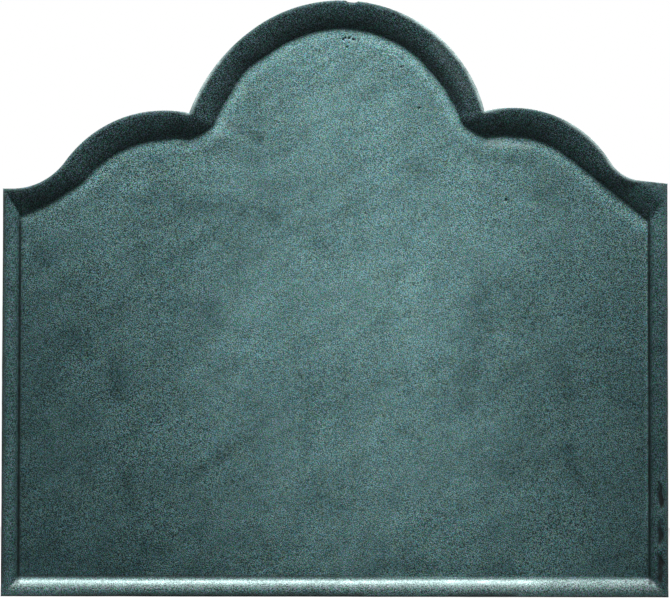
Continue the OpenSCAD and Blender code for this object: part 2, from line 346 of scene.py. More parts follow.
    def arc(
        self,
        side: Side,
        centre: np.ndarray,
        radius: float,
        angle: float,
        inwards: int,
        rim: float,
    ) -> np.ndarray:
        """A station on an arc of the outline, or at a notch, where the radius is 0.

        Args:
            side: the half that it belongs to.
            centre: the arc's centre.
            radius: the arc's radius.
            angle: the station's angle, in degrees.
            inwards: 1 where the plate lies outside the arc, -1 where it lies inside.
            rim: the rim's width there.

        Returns:
            The station's five points.
        """
        p = polar(centre, radius, angle)
        n = inwards * polar(np.zeros(2), 1, angle)
        q = p + rim * n
        if side is Side.LEFT:
            to_land = self.half_w(side) - self.left.land - p[0]
            near = min(1.0, max(0.0, 1 - to_land / self.corner_run))
            q[0] -= near**2 * (self.left.side_rim - self.left.land + self.corner_gap)
            return self.smooth(p, n, q, n - [self.corner_lean * near, 0])
        edge_x, foot_x = self.run_start(0)[0], self.run_start(self.run_rim)[0]
        if p[0] <= edge_x:
            return self.smooth(p, n, q, n)
        share = (p[0] - edge_x) / (self.half_w(side) - edge_x)
        x = foot_x + share * (self.half_w(side) - self.right.side_rim - foot_x)
        m = -polar(np.zeros(2), 1, 90 - self.run_slope)
        return self.smooth(p, n, np.array([x, self.run_y(x)]), m)

    def half(self, side: Side) -> list[np.ndarray]:
        """One half's stations, from the bottom corner up to the crown, without its top.

        Args:
            side: the half.

        Returns:
            The stations, with x counted outwards from the arch's centre line.
        """
        f, w = self.flank(side), self.half_w(side)
        cove, shoulder, notch = self.cove_centre(side), self.shoulder_centre(side), self.notch(side)
        haunch, haunch_r = self.haunch(side)
        crown_start = 90 - self.crown_half_angle
        inner = np.array([w - f.side_rim, self.bottom_rim])
        made = [self.mitre(np.array([w, 0.0]), np.array([-1.0, 1.0]), inner), self.top_corner(side)]
        arcs = (
            (cove, f.cove_r, -90 - f.land_slope, bearing(cove, shoulder), 1, f.cove_rim),
            (shoulder, f.shoulder_r, bearing(shoulder, cove), bearing(shoulder, notch), -1, f.shoulder_rim),
            (notch, 0, bearing(notch, shoulder), bearing(notch, haunch), 1, f.notch_rim),
            (haunch, haunch_r, bearing(haunch, notch), crown_start, -1, f.haunch_rim),
            (self.crown_centre(), self.crown_r, crown_start, 90, -1, self.crown_rim),
        )
        for centre, radius, start, end, inwards, rims in arcs:
            step = math.degrees(self.arc_step / radius) if radius else self.fan_step
            for angle in step_angles(start, end, step):
                rim = blend_through(rims, (angle - start) / (end - start))
                made.append(self.arc(side, centre, radius, angle, inwards, rim))
        return made

    def on_top(self, stations: np.ndarray) -> np.ndarray:
        """Which stations belong to the shaped top, and not to the sides or the bottom."""
        x, height = np.abs(stations[:, 0, 0]), stations[:, 0, 1]
        return (height > self.left.corner_h - MM) & (x < self.width / 2 - 0.1 * MM)

    def section_fullness(self, stations: np.ndarray) -> np.ndarray:
        """How full the rim's curve is at each station.

        Args:
            stations: the outline's stations.

        Returns:
            The exponent of the curve: 1 for a straight bevel, 2 for a quarter of an ellipse.
        """
        edge = stations[:, 0]
        corner = np.where(edge[:, 0] < 0, self.left.corner_h, self.right.corner_h)
        share = ease(ramp(edge[:, 1] - corner, -self.fullness_blend, 0))
        return self.fullness + (self.top_fullness - self.fullness) * share

    def placed(self, side: Side, station: np.ndarray) -> np.ndarray:
        """A half's station at its place on the plate."""
        return np.column_stack([self.shift + side.value * station[:, 0], station[:, 1]])

    def stations(self) -> np.ndarray:
        """Every station round the plate, in place, with the straight stretches divided.

        Returns:
            An array of stations, each of five points in plan.
        """
        left, right = ([self.placed(side, s) for s in self.half(side)] for side in Side)
        top = self.arc(Side.RIGHT, self.crown_centre(), self.crown_r, 90, -1, self.crown_rim[-1])
        loop = right + [self.placed(Side.RIGHT, top)] + left[::-1]
        made = []
        for here, there in zip(loop, loop[1:] + loop[:1]):
            span = float(np.linalg.norm(there[0] - here[0]))
            count = max(1, round(span / self.straight_step))
            made += [here + (there - here) * (i / count) for i in range(count)]
        return np.array(made)


# ---- Meshes


def place_object(name: str, data: bpy.types.ID | None) -> bpy.types.Object:
    """Makes an object and links it to the scene.

    Args:
        name: its name.
        data: its mesh, lamp or camera.

    Returns:
        The object.
    """
    obj = bpy.data.objects.new(name, data)
    bpy.context.scene.collection.objects.link(obj)
    return obj


def to_mesh(name: str, work: bmesh.types.BMesh) -> bpy.types.Mesh:
    """Turns a mesh being worked on into a mesh.

    Args:
        name: the mesh's name.
        work: the mesh being worked on, which is freed.

    Returns:
        The mesh.
    """
    mesh = bpy.data.meshes.new(name)
    work.to_mesh(mesh)
    work.free()
    return mesh


def store_mask(mesh: bpy.types.Mesh, name: str, values: np.ndarray) -> None:
    """Stores one value for each point of a mesh, for its material to read."""
    mask = mesh.attributes.new(name, "FLOAT", "POINT")
    mask.data.foreach_set("value", values.astype(np.float32))


def read_points(mesh: bpy.types.Mesh) -> tuple[np.ndarray, np.ndarray]:
    """Reads a mesh's points.

    Args:
        mesh: the mesh.

    Returns:
        Rows of the points' places, and rows of their normals.
    """
    found = []
    for name in ("co", "normal"):
        values = np.empty(len(mesh.vertices) * 3)
        mesh.vertices.foreach_get(name, values)
        found.append(values.reshape(-1, 3))
    return found[0], found[1]


def move_points(mesh: bpy.types.Mesh, place: np.ndarray) -> None:
    """Moves a mesh's points to new places."""
    mesh.vertices.foreach_set("co", place.ravel())
    mesh.update()


def inside(points: np.ndarray, loop: np.ndarray) -> np.ndarray:
    """Which points lie inside a closed loop.

    Args:
        points: rows of x and y.
        loop: the loop's points.

    Returns:
        A row of True and False.
    """
    hits = np.zeros(len(points), bool)
    for a, b in zip(loop, np.roll(loop, -1, axis=0)):
        if a[1] == b[1]:
            continue
        spans = (a[1] > points[:, 1]) != (b[1] > points[:, 1])
        x = a[0] + (points[:, 1] - a[1]) * (b[0] - a[0]) / (b[1] - a[1])
        hits ^= spans & (points[:, 0] < x)
    return hits


def nearest(points: np.ndarray, targets: np.ndarray) -> np.ndarray:
    """How far points are from the nearest of some targets.

    Args:
        points: rows of x and y.
        targets: rows of x and y, taken in blocks of about 64 to save memory.

    Returns:
        A distance for each point.
    """
    found = np.full(len(points), np.inf)
    for block in np.array_split(targets, max(1, len(targets) // 64)):
        gaps = points[:, None, :] - block[None, :, :]
        found = np.minimum(found, np.sqrt((gaps**2).sum(2)).min(1))
    return found


def roughen(obj: bpy.types.Object, waves: tuple[tuple[float, float], ...], seed: float) -> None:
    """Sinks a mesh's surface unevenly, never outwards.

    Args:
        obj: the object.
        waves: pairs of a wave's length and how deep it goes.
        seed: moves the pattern.
    """
    place, normal = read_points(obj.data)
    depth = np.zeros(len(place))
    for i, (length, deep) in enumerate(waves):
        offset = Vector((seed, seed * 2.3 + i, 7.1 * i))
        values = [noise.noise(Vector(p) / length + offset) for p in place]
        depth += deep * (0.5 + 0.5 * np.array(values))
    move_points(obj.data, place - normal * depth[:, None])


def apply_modifiers(obj: bpy.types.Object) -> None:
    """Puts an object's modifiers into its mesh.

    Args:
        obj: the object.
    """
    bpy.context.view_layer.update()
    graph = bpy.context.evaluated_depsgraph_get()
    mesh = bpy.data.meshes.new_from_object(obj.evaluated_get(graph))
    obj.modifiers.clear()
    obj.data = mesh


def hand_over(obj: bpy.types.Object, node: str, finish: bpy.types.Material) -> None:
    """Gives a casting its finish and puts it in place of its CAD node.

    Args:
        obj: the casting.
        node: the CAD node that it replaces.
        finish: its material.
    """
    obj.data.materials.clear()
    obj.data.materials.append(finish)
    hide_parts(node)
    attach(obj, BODY)


class SolidMesh:
    """Points and faces gathered for one closed solid, with each point's painted shade and soot."""

    weld: float = 2e-6

    def __init__(self) -> None:
        """Starts empty."""
        self.points: list[tuple[float, float, float]] = []
        self.faces: list[tuple[int, ...]] = []
        self.shade_and_soot: list[float] = []

    def add(self, points: np.ndarray, shade_and_soot: np.ndarray | None = None) -> np.ndarray:
        """Adds points.

        Args:
            points: rows of x, y and z.
            shade_and_soot: how much painted shade, with some soot, each point takes, from 0 to 1.

        Returns:
            Their numbers.
        """
        first = len(self.points)
        self.points.extend(map(tuple, points))
        self.shade_and_soot.extend(np.zeros(len(points)) if shade_and_soot is None else shade_and_soot)
        return np.arange(first, first + len(points))

    def strip(self, lower: np.ndarray, upper: np.ndarray) -> None:
        """Joins two closed rings of the same length with a band of quads."""
        corners = (lower, np.roll(lower, -1), np.roll(upper, -1), upper)
        self.faces += [tuple(map(int, face)) for face in zip(*corners)]

    def sheet(self, loops: list[np.ndarray], inner: np.ndarray, height: float) -> None:
        """Covers the flat area inside a loop with triangles.

        Args:
            loops: rings of point numbers that the triangles keep to. The first bounds them.
            inner: rows of x and plan height for the free points within.
            height: the free points' thickness coordinate.
        """
        ids = np.concatenate(loops)
        place = np.array(self.points)[ids][:, :2]
        edges, start = [], 0
        for loop in loops:
            count = len(loop)
            edges += [(start + i, start + (i + 1) % count) for i in range(count)]
            start += count
        every = np.concatenate([ids, self.add(np.column_stack([inner, np.full(len(inner), height)]))])
        points = [Vector(p) for p in np.vstack([place, inner])]
        found = delaunay_2d_cdt(points, edges, [], 1, 1e-9)
        faces, origins = found[2], [origin[0] for origin in found[3]]
        self.faces += [tuple(int(every[origins[v]]) for v in face) for face in faces]

    def build(self, name: str) -> bpy.types.Object:
        """Makes the Blender object, with repeated points merged and its faces turned outwards.

        Args:
            name: the object's name.

        Returns:
            The object, linked to the scene.
        """
        drawn = bpy.data.meshes.new("drawn")
        drawn.from_pydata(self.points, [], self.faces)
        store_mask(drawn, "shade_and_soot", np.array(self.shade_and_soot))
        work = bmesh.new()
        work.from_mesh(drawn)
        bmesh.ops.remove_doubles(work, verts=work.verts, dist=self.weld)
        bmesh.ops.recalc_face_normals(work, faces=work.faces)
        mesh = to_mesh(name, work)
        bpy.data.meshes.remove(drawn)
        mesh.shade_smooth()
        return place_object(name, mesh)


# ---- Shader nodes


class NodeBench:
    """Adds nodes to a tree and joins them."""

    def __init__(self, tree: bpy.types.NodeTree) -> None:
        """Works on one tree."""
        self.tree = tree

    def add(self, kind: str, inputs: dict | None = None, **props: object) -> bpy.types.Node:
        """Adds one node.

        Args:
            kind: the node's type name, without "ShaderNode".
            inputs: values or sockets for its inputs, by name or number.
            props: its own properties, which are set first.

        Returns:
            The node.
        """
        name = kind if kind.startswith("Node") else "ShaderNode" + kind
        node = self.tree.nodes.new(name)
        for key, value in props.items():
            setattr(node, key, value)
        for key, value in (inputs or {}).items():
            if isinstance(value, bpy.types.NodeSocket):
                self.tree.links.new(value, node.inputs[key])
            else:
                node.inputs[key].default_value = value
        return node

    def group(self, tree: bpy.types.NodeTree, inputs: dict) -> bpy.types.Node:
        """Places a node group with its values or sockets by name."""
        return self.add("Group", inputs, node_tree=tree)

    def place(self) -> object:
        """The socket of the object's own coordinates."""
        return self.add("TexCoord").outputs["Object"]

    def math(self, operation: str, a: object, b: object, clamp: bool = False) -> object:
        """The result socket of a Math node."""
        return self.add("Math", {0: a, 1: b}, operation=operation, use_clamp=clamp).outputs[0]

    def times(self, a: object, b: object, clamp: bool = False) -> object:
        """The product of two values."""
        return self.math("MULTIPLY", a, b, clamp)

    def plus(self, a: object, b: object) -> object:
        """The sum of two values."""
        return self.math("ADD", a, b)

    def total(self, start: object, *terms: tuple[object, float]) -> object:
        """A value with others added to it, each times its weight.

        Args:
            start: the first value.
            terms: pairs of a value and its weight.

        Returns:
            The socket of the sum.
        """
        for value, weight in terms:
            start = self.plus(start, self.times(value, weight))
        return start

    def tone(self, colour: object, factor: object) -> object:
        """A colour made lighter or darker by a factor."""
        return self.add("VectorMath", {0: colour, "Scale": factor}, operation="SCALE").outputs[0]

    def noise(self, vector: object, scale: object, detail: float, rough: float = 0.5) -> object:
        """The value socket of a Noise Texture."""
        values = {"Vector": vector, "Scale": scale, "Detail": detail, "Roughness": rough}
        return self.add("TexNoise", values).outputs[0]

    def remap(self, value: object, low: float, high: float, to: tuple[float, float] = (0, 1)) -> object:
        """The result socket of a smooth Map Range node."""
        values = {0: value, 1: low, 2: high, 3: to[0], 4: to[1]}
        return self.add("MapRange", values, interpolation_type="SMOOTHSTEP").outputs[0]

    def mix(self, share: object, a: object, b: object, clamp: bool = True) -> object:
        """The colour socket of a Mix node."""
        values = {0: share, 6: a, 7: b}
        return self.add("Mix", values, data_type="RGBA", clamp_factor=clamp).outputs[2]

    def seen(self) -> object:
        """What the camera, a reflection or glass sees directly.

        Returns:
            A socket that is 1 there, and 0 where the surface only lights others.
        """
        path = self.add("LightPath")
        seen = self.math("MAXIMUM", path.outputs["Is Camera Ray"], path.outputs["Is Glossy Ray"])
        return self.math("MAXIMUM", seen, path.outputs["Is Transmission Ray"])

    def mask(self, name: str) -> object:
        """The value socket of a mask stored on the mesh."""
        return self.add("Attribute", attribute_name=name).outputs["Fac"]

    def surface(self, height: object, depth: float, strength: float, values: dict) -> None:
        """Ends a material with its Principled surface over a bump.

        Args:
            height: the bump's height.
            depth: how deep a height of 1 is.
            strength: the bump's strength.
            values: the surface's other values or sockets, by name.
        """
        bump = self.add("Bump", {"Strength": strength, "Distance": depth, "Height": height})
        skin = self.add("BsdfPrincipled", {**values, "Normal": bump.outputs[0]})
        self.add("OutputMaterial", {"Surface": skin.outputs[0]})


def fresh_bench(owner: bpy.types.Material | bpy.types.World) -> NodeBench:
    """Empties the node tree of a material or a world.

    Args:
        owner: the material or world.

    Returns:
        The tree's bench.
    """
    owner.use_nodes = True
    owner.node_tree.nodes.clear()
    return NodeBench(owner.node_tree)


def new_group(name: str, inputs: dict[str, str], outputs: dict[str, str]) -> tuple:
    """Starts a shader node group.

    Args:
        name: the group's name.
        inputs: socket types by name.
        outputs: socket types by name.

    Returns:
        The group's tree, its bench, its input sockets and its output sockets.
    """
    tree = bpy.data.node_groups.new(name, "ShaderNodeTree")
    for in_out, sockets in (("INPUT", inputs), ("OUTPUT", outputs)):
        for socket, kind in sockets.items():
            tree.interface.new_socket(name=socket, in_out=in_out, socket_type="NodeSocket" + kind)
    bench = NodeBench(tree)
    return tree, bench, bench.add("NodeGroupInput").outputs, bench.add("NodeGroupOutput").inputs


def sand_grain_group() -> bpy.types.NodeTree:
    """The grain that the mould's sand leaves on iron.

    Returns:
        A group with a Height for a Bump node and a Speckle that lightens and darkens.
    """
    tree, bench, given, out = new_group(
        "sand_grain",
        {"Vector": "Vector", "Grain": "Float", "Lumps": "Float"},
        {"Height": "Float", "Speckle": "Float"},
    )
    vector, grain = given["Vector"], given["Grain"]
    fine = bench.noise(vector, grain, 1.0)
    coarse = bench.noise(vector, bench.times(grain, 0.45), 1.0)
    lumps = bench.noise(vector, given["Lumps"], 2.0, 0.55)
    cells = bench.add("TexVoronoi", {"Vector": vector, "Scale": bench.times(grain, 0.5)})
    hollows = bench.remap(cells.outputs["Distance"], 0.0, 0.26, (1, 0))
    gate = bench.remap(bench.noise(vector, bench.times(grain, 0.13), 1.0), 0.55, 0.72)
    pits = bench.times(hollows, gate)
    height = bench.total(fine, (coarse, 0.35), (lumps, 0.5), (pits, -0.4))
    speckle = bench.total(bench.times(fine, 0.8), (coarse, 0.2), (pits, -0.12))
    tree.links.new(height, out["Height"])
    tree.links.new(speckle, out["Speckle"])
    return tree


def patina_group() -> bpy.types.NodeTree:
    """Soft clouds of lighter and darker blacking on iron.

    Returns:
        A group with the clouded Color and the Cloud value that it follows.
    """
    tree, bench, given, out = new_group(
        "patina",
        {"Vector": "Vector", "Size": "Float", "Dark": "Color", "Middle": "Color", "Light": "Color"},
        {"Color": "Color", "Cloud": "Float"},
    )
    vector, size = given["Vector"], given["Size"]
    broad = bench.noise(vector, size, 3.0, 0.55)
    blotch = bench.noise(vector, bench.times(size, 4.6), 3.0, 0.6)
    dapple = bench.noise(vector, bench.times(size, 17.0), 2.0, 0.55)
    cloud = bench.total(bench.times(broad, 0.45), (blotch, 0.35), (dapple, 0.2))
    colour = bench.mix(bench.remap(cloud, 0.34, 0.52), given["Dark"], given["Middle"])
    colour = bench.mix(bench.remap(cloud, 0.5, 0.68), colour, given["Light"])
    tree.links.new(colour, out["Color"])
    tree.links.new(cloud, out["Cloud"])
    return tree


def grain_tint_group() -> bpy.types.NodeTree:
    """Tints neighbouring grains a little, between green and lilac.

    Returns:
        A group whose Tint multiplies a colour.
    """
    tree, bench, given, out = new_group(
        "grain_tint", {"Vector": "Vector", "Size": "Float"}, {"Tint": "Color"}
    )
    values = {"Vector": given["Vector"], "Scale": given["Size"], "Detail": 1.0}
    grains = bench.add("TexNoise", values)
    split = bench.add("SeparateXYZ", {"Vector": grains.outputs["Color"]})
    lilac = bench.remap(split.outputs["Y"], 0.3, 0.7, (-0.8, 0.8))
    warm = bench.remap(split.outputs["Z"], 0.3, 0.7, (-0.25, 0.25))
    red = bench.plus(bench.plus(lilac, warm), 1.0)
    blue = bench.plus(bench.math("SUBTRACT", bench.times(lilac, 0.6), warm), 1.0)
    tint = bench.add("CombineXYZ", {"X": red, "Y": 1.0, "Z": blue})
    tree.links.new(tint.outputs[0], out["Tint"])
    return tree


def broken_mask_group() -> bpy.types.NodeTree:
    """Breaks a smooth mask up, as wear and dirt are.

    Returns:
        A group whose Mask is its Value, eaten into by noise.
    """
    tree, bench, given, out = new_group(
        "broken_mask",
        {"Vector": "Vector", "Value": "Float", "Size": "Float", "Break": "Float"},
        {"Mask": "Float"},
    )
    rough = bench.remap(bench.noise(given["Vector"], given["Size"], 3.0, 0.65), 0.3, 0.7, (-0.75, 0.25))
    kept = bench.plus(bench.times(rough, given["Break"]), 1.0)
    tree.links.new(bench.times(given["Value"], kept, clamp=True), out["Mask"])
    return tree


@dataclass(frozen=True)
class Groups:
    """The shader node groups that the finishes share."""

    grain: bpy.types.NodeTree = field(default_factory=sand_grain_group)
    patina: bpy.types.NodeTree = field(default_factory=patina_group)
    tint: bpy.types.NodeTree = field(default_factory=grain_tint_group)
    broken: bpy.types.NodeTree = field(default_factory=broken_mask_group)


@dataclass(frozen=True)
class PlateIron:
    """The plate's satin blacking over sandy cast iron, with painted highlights on the arrises and the
    bottom bead, painted shade in the creases and on the top moulding, and a painted pool of light on the
    panel.
    """

    dark: Colour = (0.029, 0.063, 0.066, 1)
    # The blacking where the painted pool of light is strongest.
    light: Colour = (0.100, 0.190, 0.193, 1)
    wear_and_highlight: Colour = (0.30, 0.38, 0.375, 1)
    # The bare-looking tone of the painted highlights on the bottom bead and the outer arris.
    highlight_tone: Colour = (0.40, 0.53, 0.515, 1)
    # The painted shade, with some soot, on the shaped top's moulding.
    shade_and_soot: Colour = (0.0255, 0.051, 0.0545, 1)
    black: Colour = (0.006, 0.009, 0.009, 1)
    specular: float = 0.1
    gloss: tuple[float, float] = (0.54, 0.48)
    bead_shine: float = 0.66
    metal: float = 0.42
    metal_power: float = 5
    cloud_size: float = 8
    grain: float = 1120
    lumps: float = 95
    grain_depth: float = 0.5 * MM
    speckle: float = 0.95
    least_speckle: float = 0.12
    stroke_turn: float = 28
    stroke_scale: tuple[float, float, float] = (9, 40, 75)

    def blacking(self, bench: NodeBench, place: object, groups: Groups) -> tuple[object, ...]:
        """The brushed-on blacking, lighter with painted light towards the middle of the panel, darker with
        painted shade on the top moulding, and with a painted highlight along the bottom bead.

        Args:
            bench: the material's bench.
            place: the socket with the object's coordinates.
            groups: the shared shader node groups.

        Returns:
            The sockets of the colour, of how strong the painted bead highlight is and of the clouds.
        """
        cloud = bench.group(groups.patina, {"Vector": place, "Size": self.cloud_size}).outputs["Cloud"]
        turn = (0, math.radians(self.stroke_turn), 0)
        turned = bench.add("Mapping", {"Vector": place, "Rotation": turn})
        stretched = bench.add("Mapping", {"Vector": turned.outputs[0], "Scale": self.stroke_scale})
        stroke = bench.noise(stretched.outputs[0], 1.0, 3.0, 0.6)
        strokes = bench.remap(stroke, 0.3, 0.7, (-0.13, 0.13))
        mottle = bench.plus(bench.remap(cloud, 0.3, 0.7, (-0.4, 0.4)), strokes)
        # glow is a painted pool of light, lightest in the middle of the panel.
        glow = bench.mask("glow")
        mottle = bench.times(mottle, bench.remap(glow, 0.0, 1.0, (0.4, 1.0)))
        share = bench.total(
            bench.plus(glow, mottle),
            (bench.mask("pale"), 0.4), (bench.mask("halo"), 0.7), (bench.mask("stain"), -0.75),
        )
        colour = bench.mix(share, self.dark, self.light, clamp=False)
        # Painted shade, with some soot, darkens the top moulding where its slope faces down, away from the
        # lamps.
        colour = bench.mix(bench.mask("shade_and_soot"), colour, self.shade_and_soot)
        # A painted highlight along the bottom bead, made to look rubbed bare.
        wear_and_highlight = bench.group(groups.broken, {
            "Vector": place, "Value": bench.mask("bead_highlight"), "Size": 60.0, "Break": 0.12,
        }).outputs["Mask"]
        return bench.mix(bench.times(wear_and_highlight, self.bead_shine), colour, self.highlight_tone), wear_and_highlight, cloud

    def material(self, groups: Groups) -> bpy.types.Material:
        """Makes the material.

        Args:
            groups: the shared shader node groups.

        Returns:
            The material.
        """
        made = bpy.data.materials.new("plate_iron")
        bench = fresh_bench(made)
        place = bench.place()
        grain = bench.group(groups.grain, {"Vector": place, "Grain": self.grain, "Lumps": self.lumps})
        colour, wear_and_highlight, cloud = self.blacking(bench, place, groups)
        metal = bench.times(bench.math("POWER", wear_and_highlight, self.metal_power), self.metal, clamp=True)
        speckle = bench.remap(grain.outputs["Speckle"], 0.3, 0.7, (-self.speckle, self.speckle))
        contrast = bench.total(
            bench.remap(bench.mask("glow"), 0.0, 1.0, (1.3, 0.82)),
            (bench.mask("bead_highlight"), -0.75), (bench.mask("shade_and_soot"), 1.4),
        )
        speckle = bench.plus(bench.times(speckle, contrast), 1.0)
        colour = bench.tone(colour, bench.math("MAXIMUM", speckle, self.least_speckle))
        tint = bench.group(groups.tint, {"Vector": place, "Size": self.grain}).outputs["Tint"]
        tint = bench.mix(bench.mask("bead_highlight"), tint, WHITE)
        colour = bench.add("VectorMath", {0: colour, 1: tint}, operation="MULTIPLY").outputs[0]
        for name, size, damage, tone, most in (
            # Painted shade: in the creases, with darker side arrises, and along the bottom arris and the
            # left top corner.
            ("crease_shade_and_dark_edges", 110.0, 0.3, self.black, 0.97), ("edge_shade", 120.0, 0.5, self.black, 0.95),
            # Painted highlights: along the outer arris, and in the streaks at the notches, under the right
            # shoulder and on the right haunch, beside real scuffs.
            ("arris_highlight", 90.0, 0.7, self.highlight_tone, 0.8), ("streak_mark", 300.0, 1.0, self.wear_and_highlight, 0.7),
            ("void", 260.0, 0.1, self.black, 1.0),
        ):
            values = {"Vector": place, "Value": bench.mask(name), "Size": size, "Break": damage}
            broken = bench.group(groups.broken, values).outputs["Mask"]
            colour = bench.mix(bench.times(broken, most, clamp=True), colour, tone)
        height = bench.times(grain.outputs["Height"], bench.remap(metal, 0.0, 0.6, (1.0, 0.4)))
        bench.surface(height, self.grain_depth, 1.0, {
            "Base Color": colour, "Roughness": bench.remap(cloud, 0.35, 0.65, self.gloss),
            "Metallic": metal, "Specular IOR Level": self.specular,
        })
        return made


@dataclass(frozen=True)
class LegIron:
    """The legs' rougher, duller blacking, with a little rust in the hollows."""

    dark: Colour = (0.018, 0.024, 0.025, 1)
    middle: Colour = (0.036, 0.047, 0.048, 1)
    light: Colour = (0.060, 0.074, 0.074, 1)
    rust: Colour = (0.085, 0.038, 0.018, 1)
    metal: float = 0.2
    specular: float = 0.4
    gloss: tuple[float, float] = (0.72, 0.58)
    cloud_size: float = 14
    rust_size: float = 46
    grain: float = 480
    lumps: float = 150
    grain_depth: float = 0.6 * MM

    def material(self, groups: Groups) -> bpy.types.Material:
        """Makes the material.

        Args:
            groups: the shared shader node groups.

        Returns:
            The material.
        """
        made = bpy.data.materials.new("leg_iron")
        bench = fresh_bench(made)
        place = bench.place()
        grain = bench.group(groups.grain, {"Vector": place, "Grain": self.grain, "Lumps": self.lumps})
        patina = bench.group(groups.patina, {
            "Vector": place, "Size": self.cloud_size,
            "Dark": self.dark, "Middle": self.middle, "Light": self.light,
        })
        rust = bench.remap(bench.noise(place, self.rust_size, 4.0, 0.65), 0.6, 0.74, (0, 0.6))
        colour = bench.mix(rust, patina.outputs["Color"], self.rust)
        hollow = bench.remap(grain.outputs["Speckle"], 0.46, 0.32, (0, 0.6))
        bench.surface(grain.outputs["Height"], self.grain_depth, 1.0, {
            "Base Color": bench.mix(hollow, colour, self.dark),
            "Roughness": bench.remap(patina.outputs["Cloud"], 0.35, 0.65, self.gloss),
            "Metallic": self.metal, "Specular IOR Level": self.specular,
        })
        return made


@dataclass(frozen=True)
class FastenerSteel:
    """Turned or stamped steel: black oxide on the bolts, dull zinc on the washers."""

    name: str
    tone: Colour
    edge: Colour
    gloss: tuple[float, float]
    brush: float
    brush_run: tuple[float, float, float] = (1, 0.06, 1)
    brush_depth: float = 0.08 * MM
    brush_strength: float = 0.6
    cloud_size: float = 60
    metal: float = 0.9

    def material(self, groups: Groups) -> bpy.types.Material:
        """Makes the material.

        Args:
            groups: the shared shader node groups.

        Returns:
            The material.
        """
        made = bpy.data.materials.new(self.name)
        bench = fresh_bench(made)
        place = bench.place()
        patina = bench.group(groups.patina, {
            "Vector": place, "Size": self.cloud_size,
            "Dark": self.tone, "Middle": self.tone, "Light": self.edge,
        })
        lines = bench.add("Mapping", {"Vector": place, "Scale": self.brush_run})
        brushed = bench.noise(lines.outputs[0], self.brush, 3.0, 0.6)
        bright = bench.remap(brushed, 0.35, 0.7, (0, 0.5))
        bench.surface(brushed, self.brush_depth, self.brush_strength, {
            "Base Color": bench.mix(bright, patina.outputs["Color"], self.edge),
            "Roughness": bench.remap(patina.outputs["Cloud"], 0.35, 0.65, self.gloss),
            "Metallic": self.metal,
        })
        return made


# ---- The casting


@dataclass(frozen=True)
class Pit:
    """A void in the casting's face, in millimetres."""

    x: float
    z: float
    half_w: float
    half_h: float
    depth: float
    dark: float = 1.0


@dataclass(frozen=True)
class Rub:
    """A streak on the face, from one place to another, in millimetres, for scuffs and stains and for
    painted highlights and shade.
    """

    start_x: float
    start_z: float
    end_x: float
    end_z: float
    half_w: float
    strength: float


def marks(kind: type, *rows: tuple[float, ...]) -> tuple:
    """Pits or streaks from rows of their values."""
    return tuple(kind(*row) for row in rows)


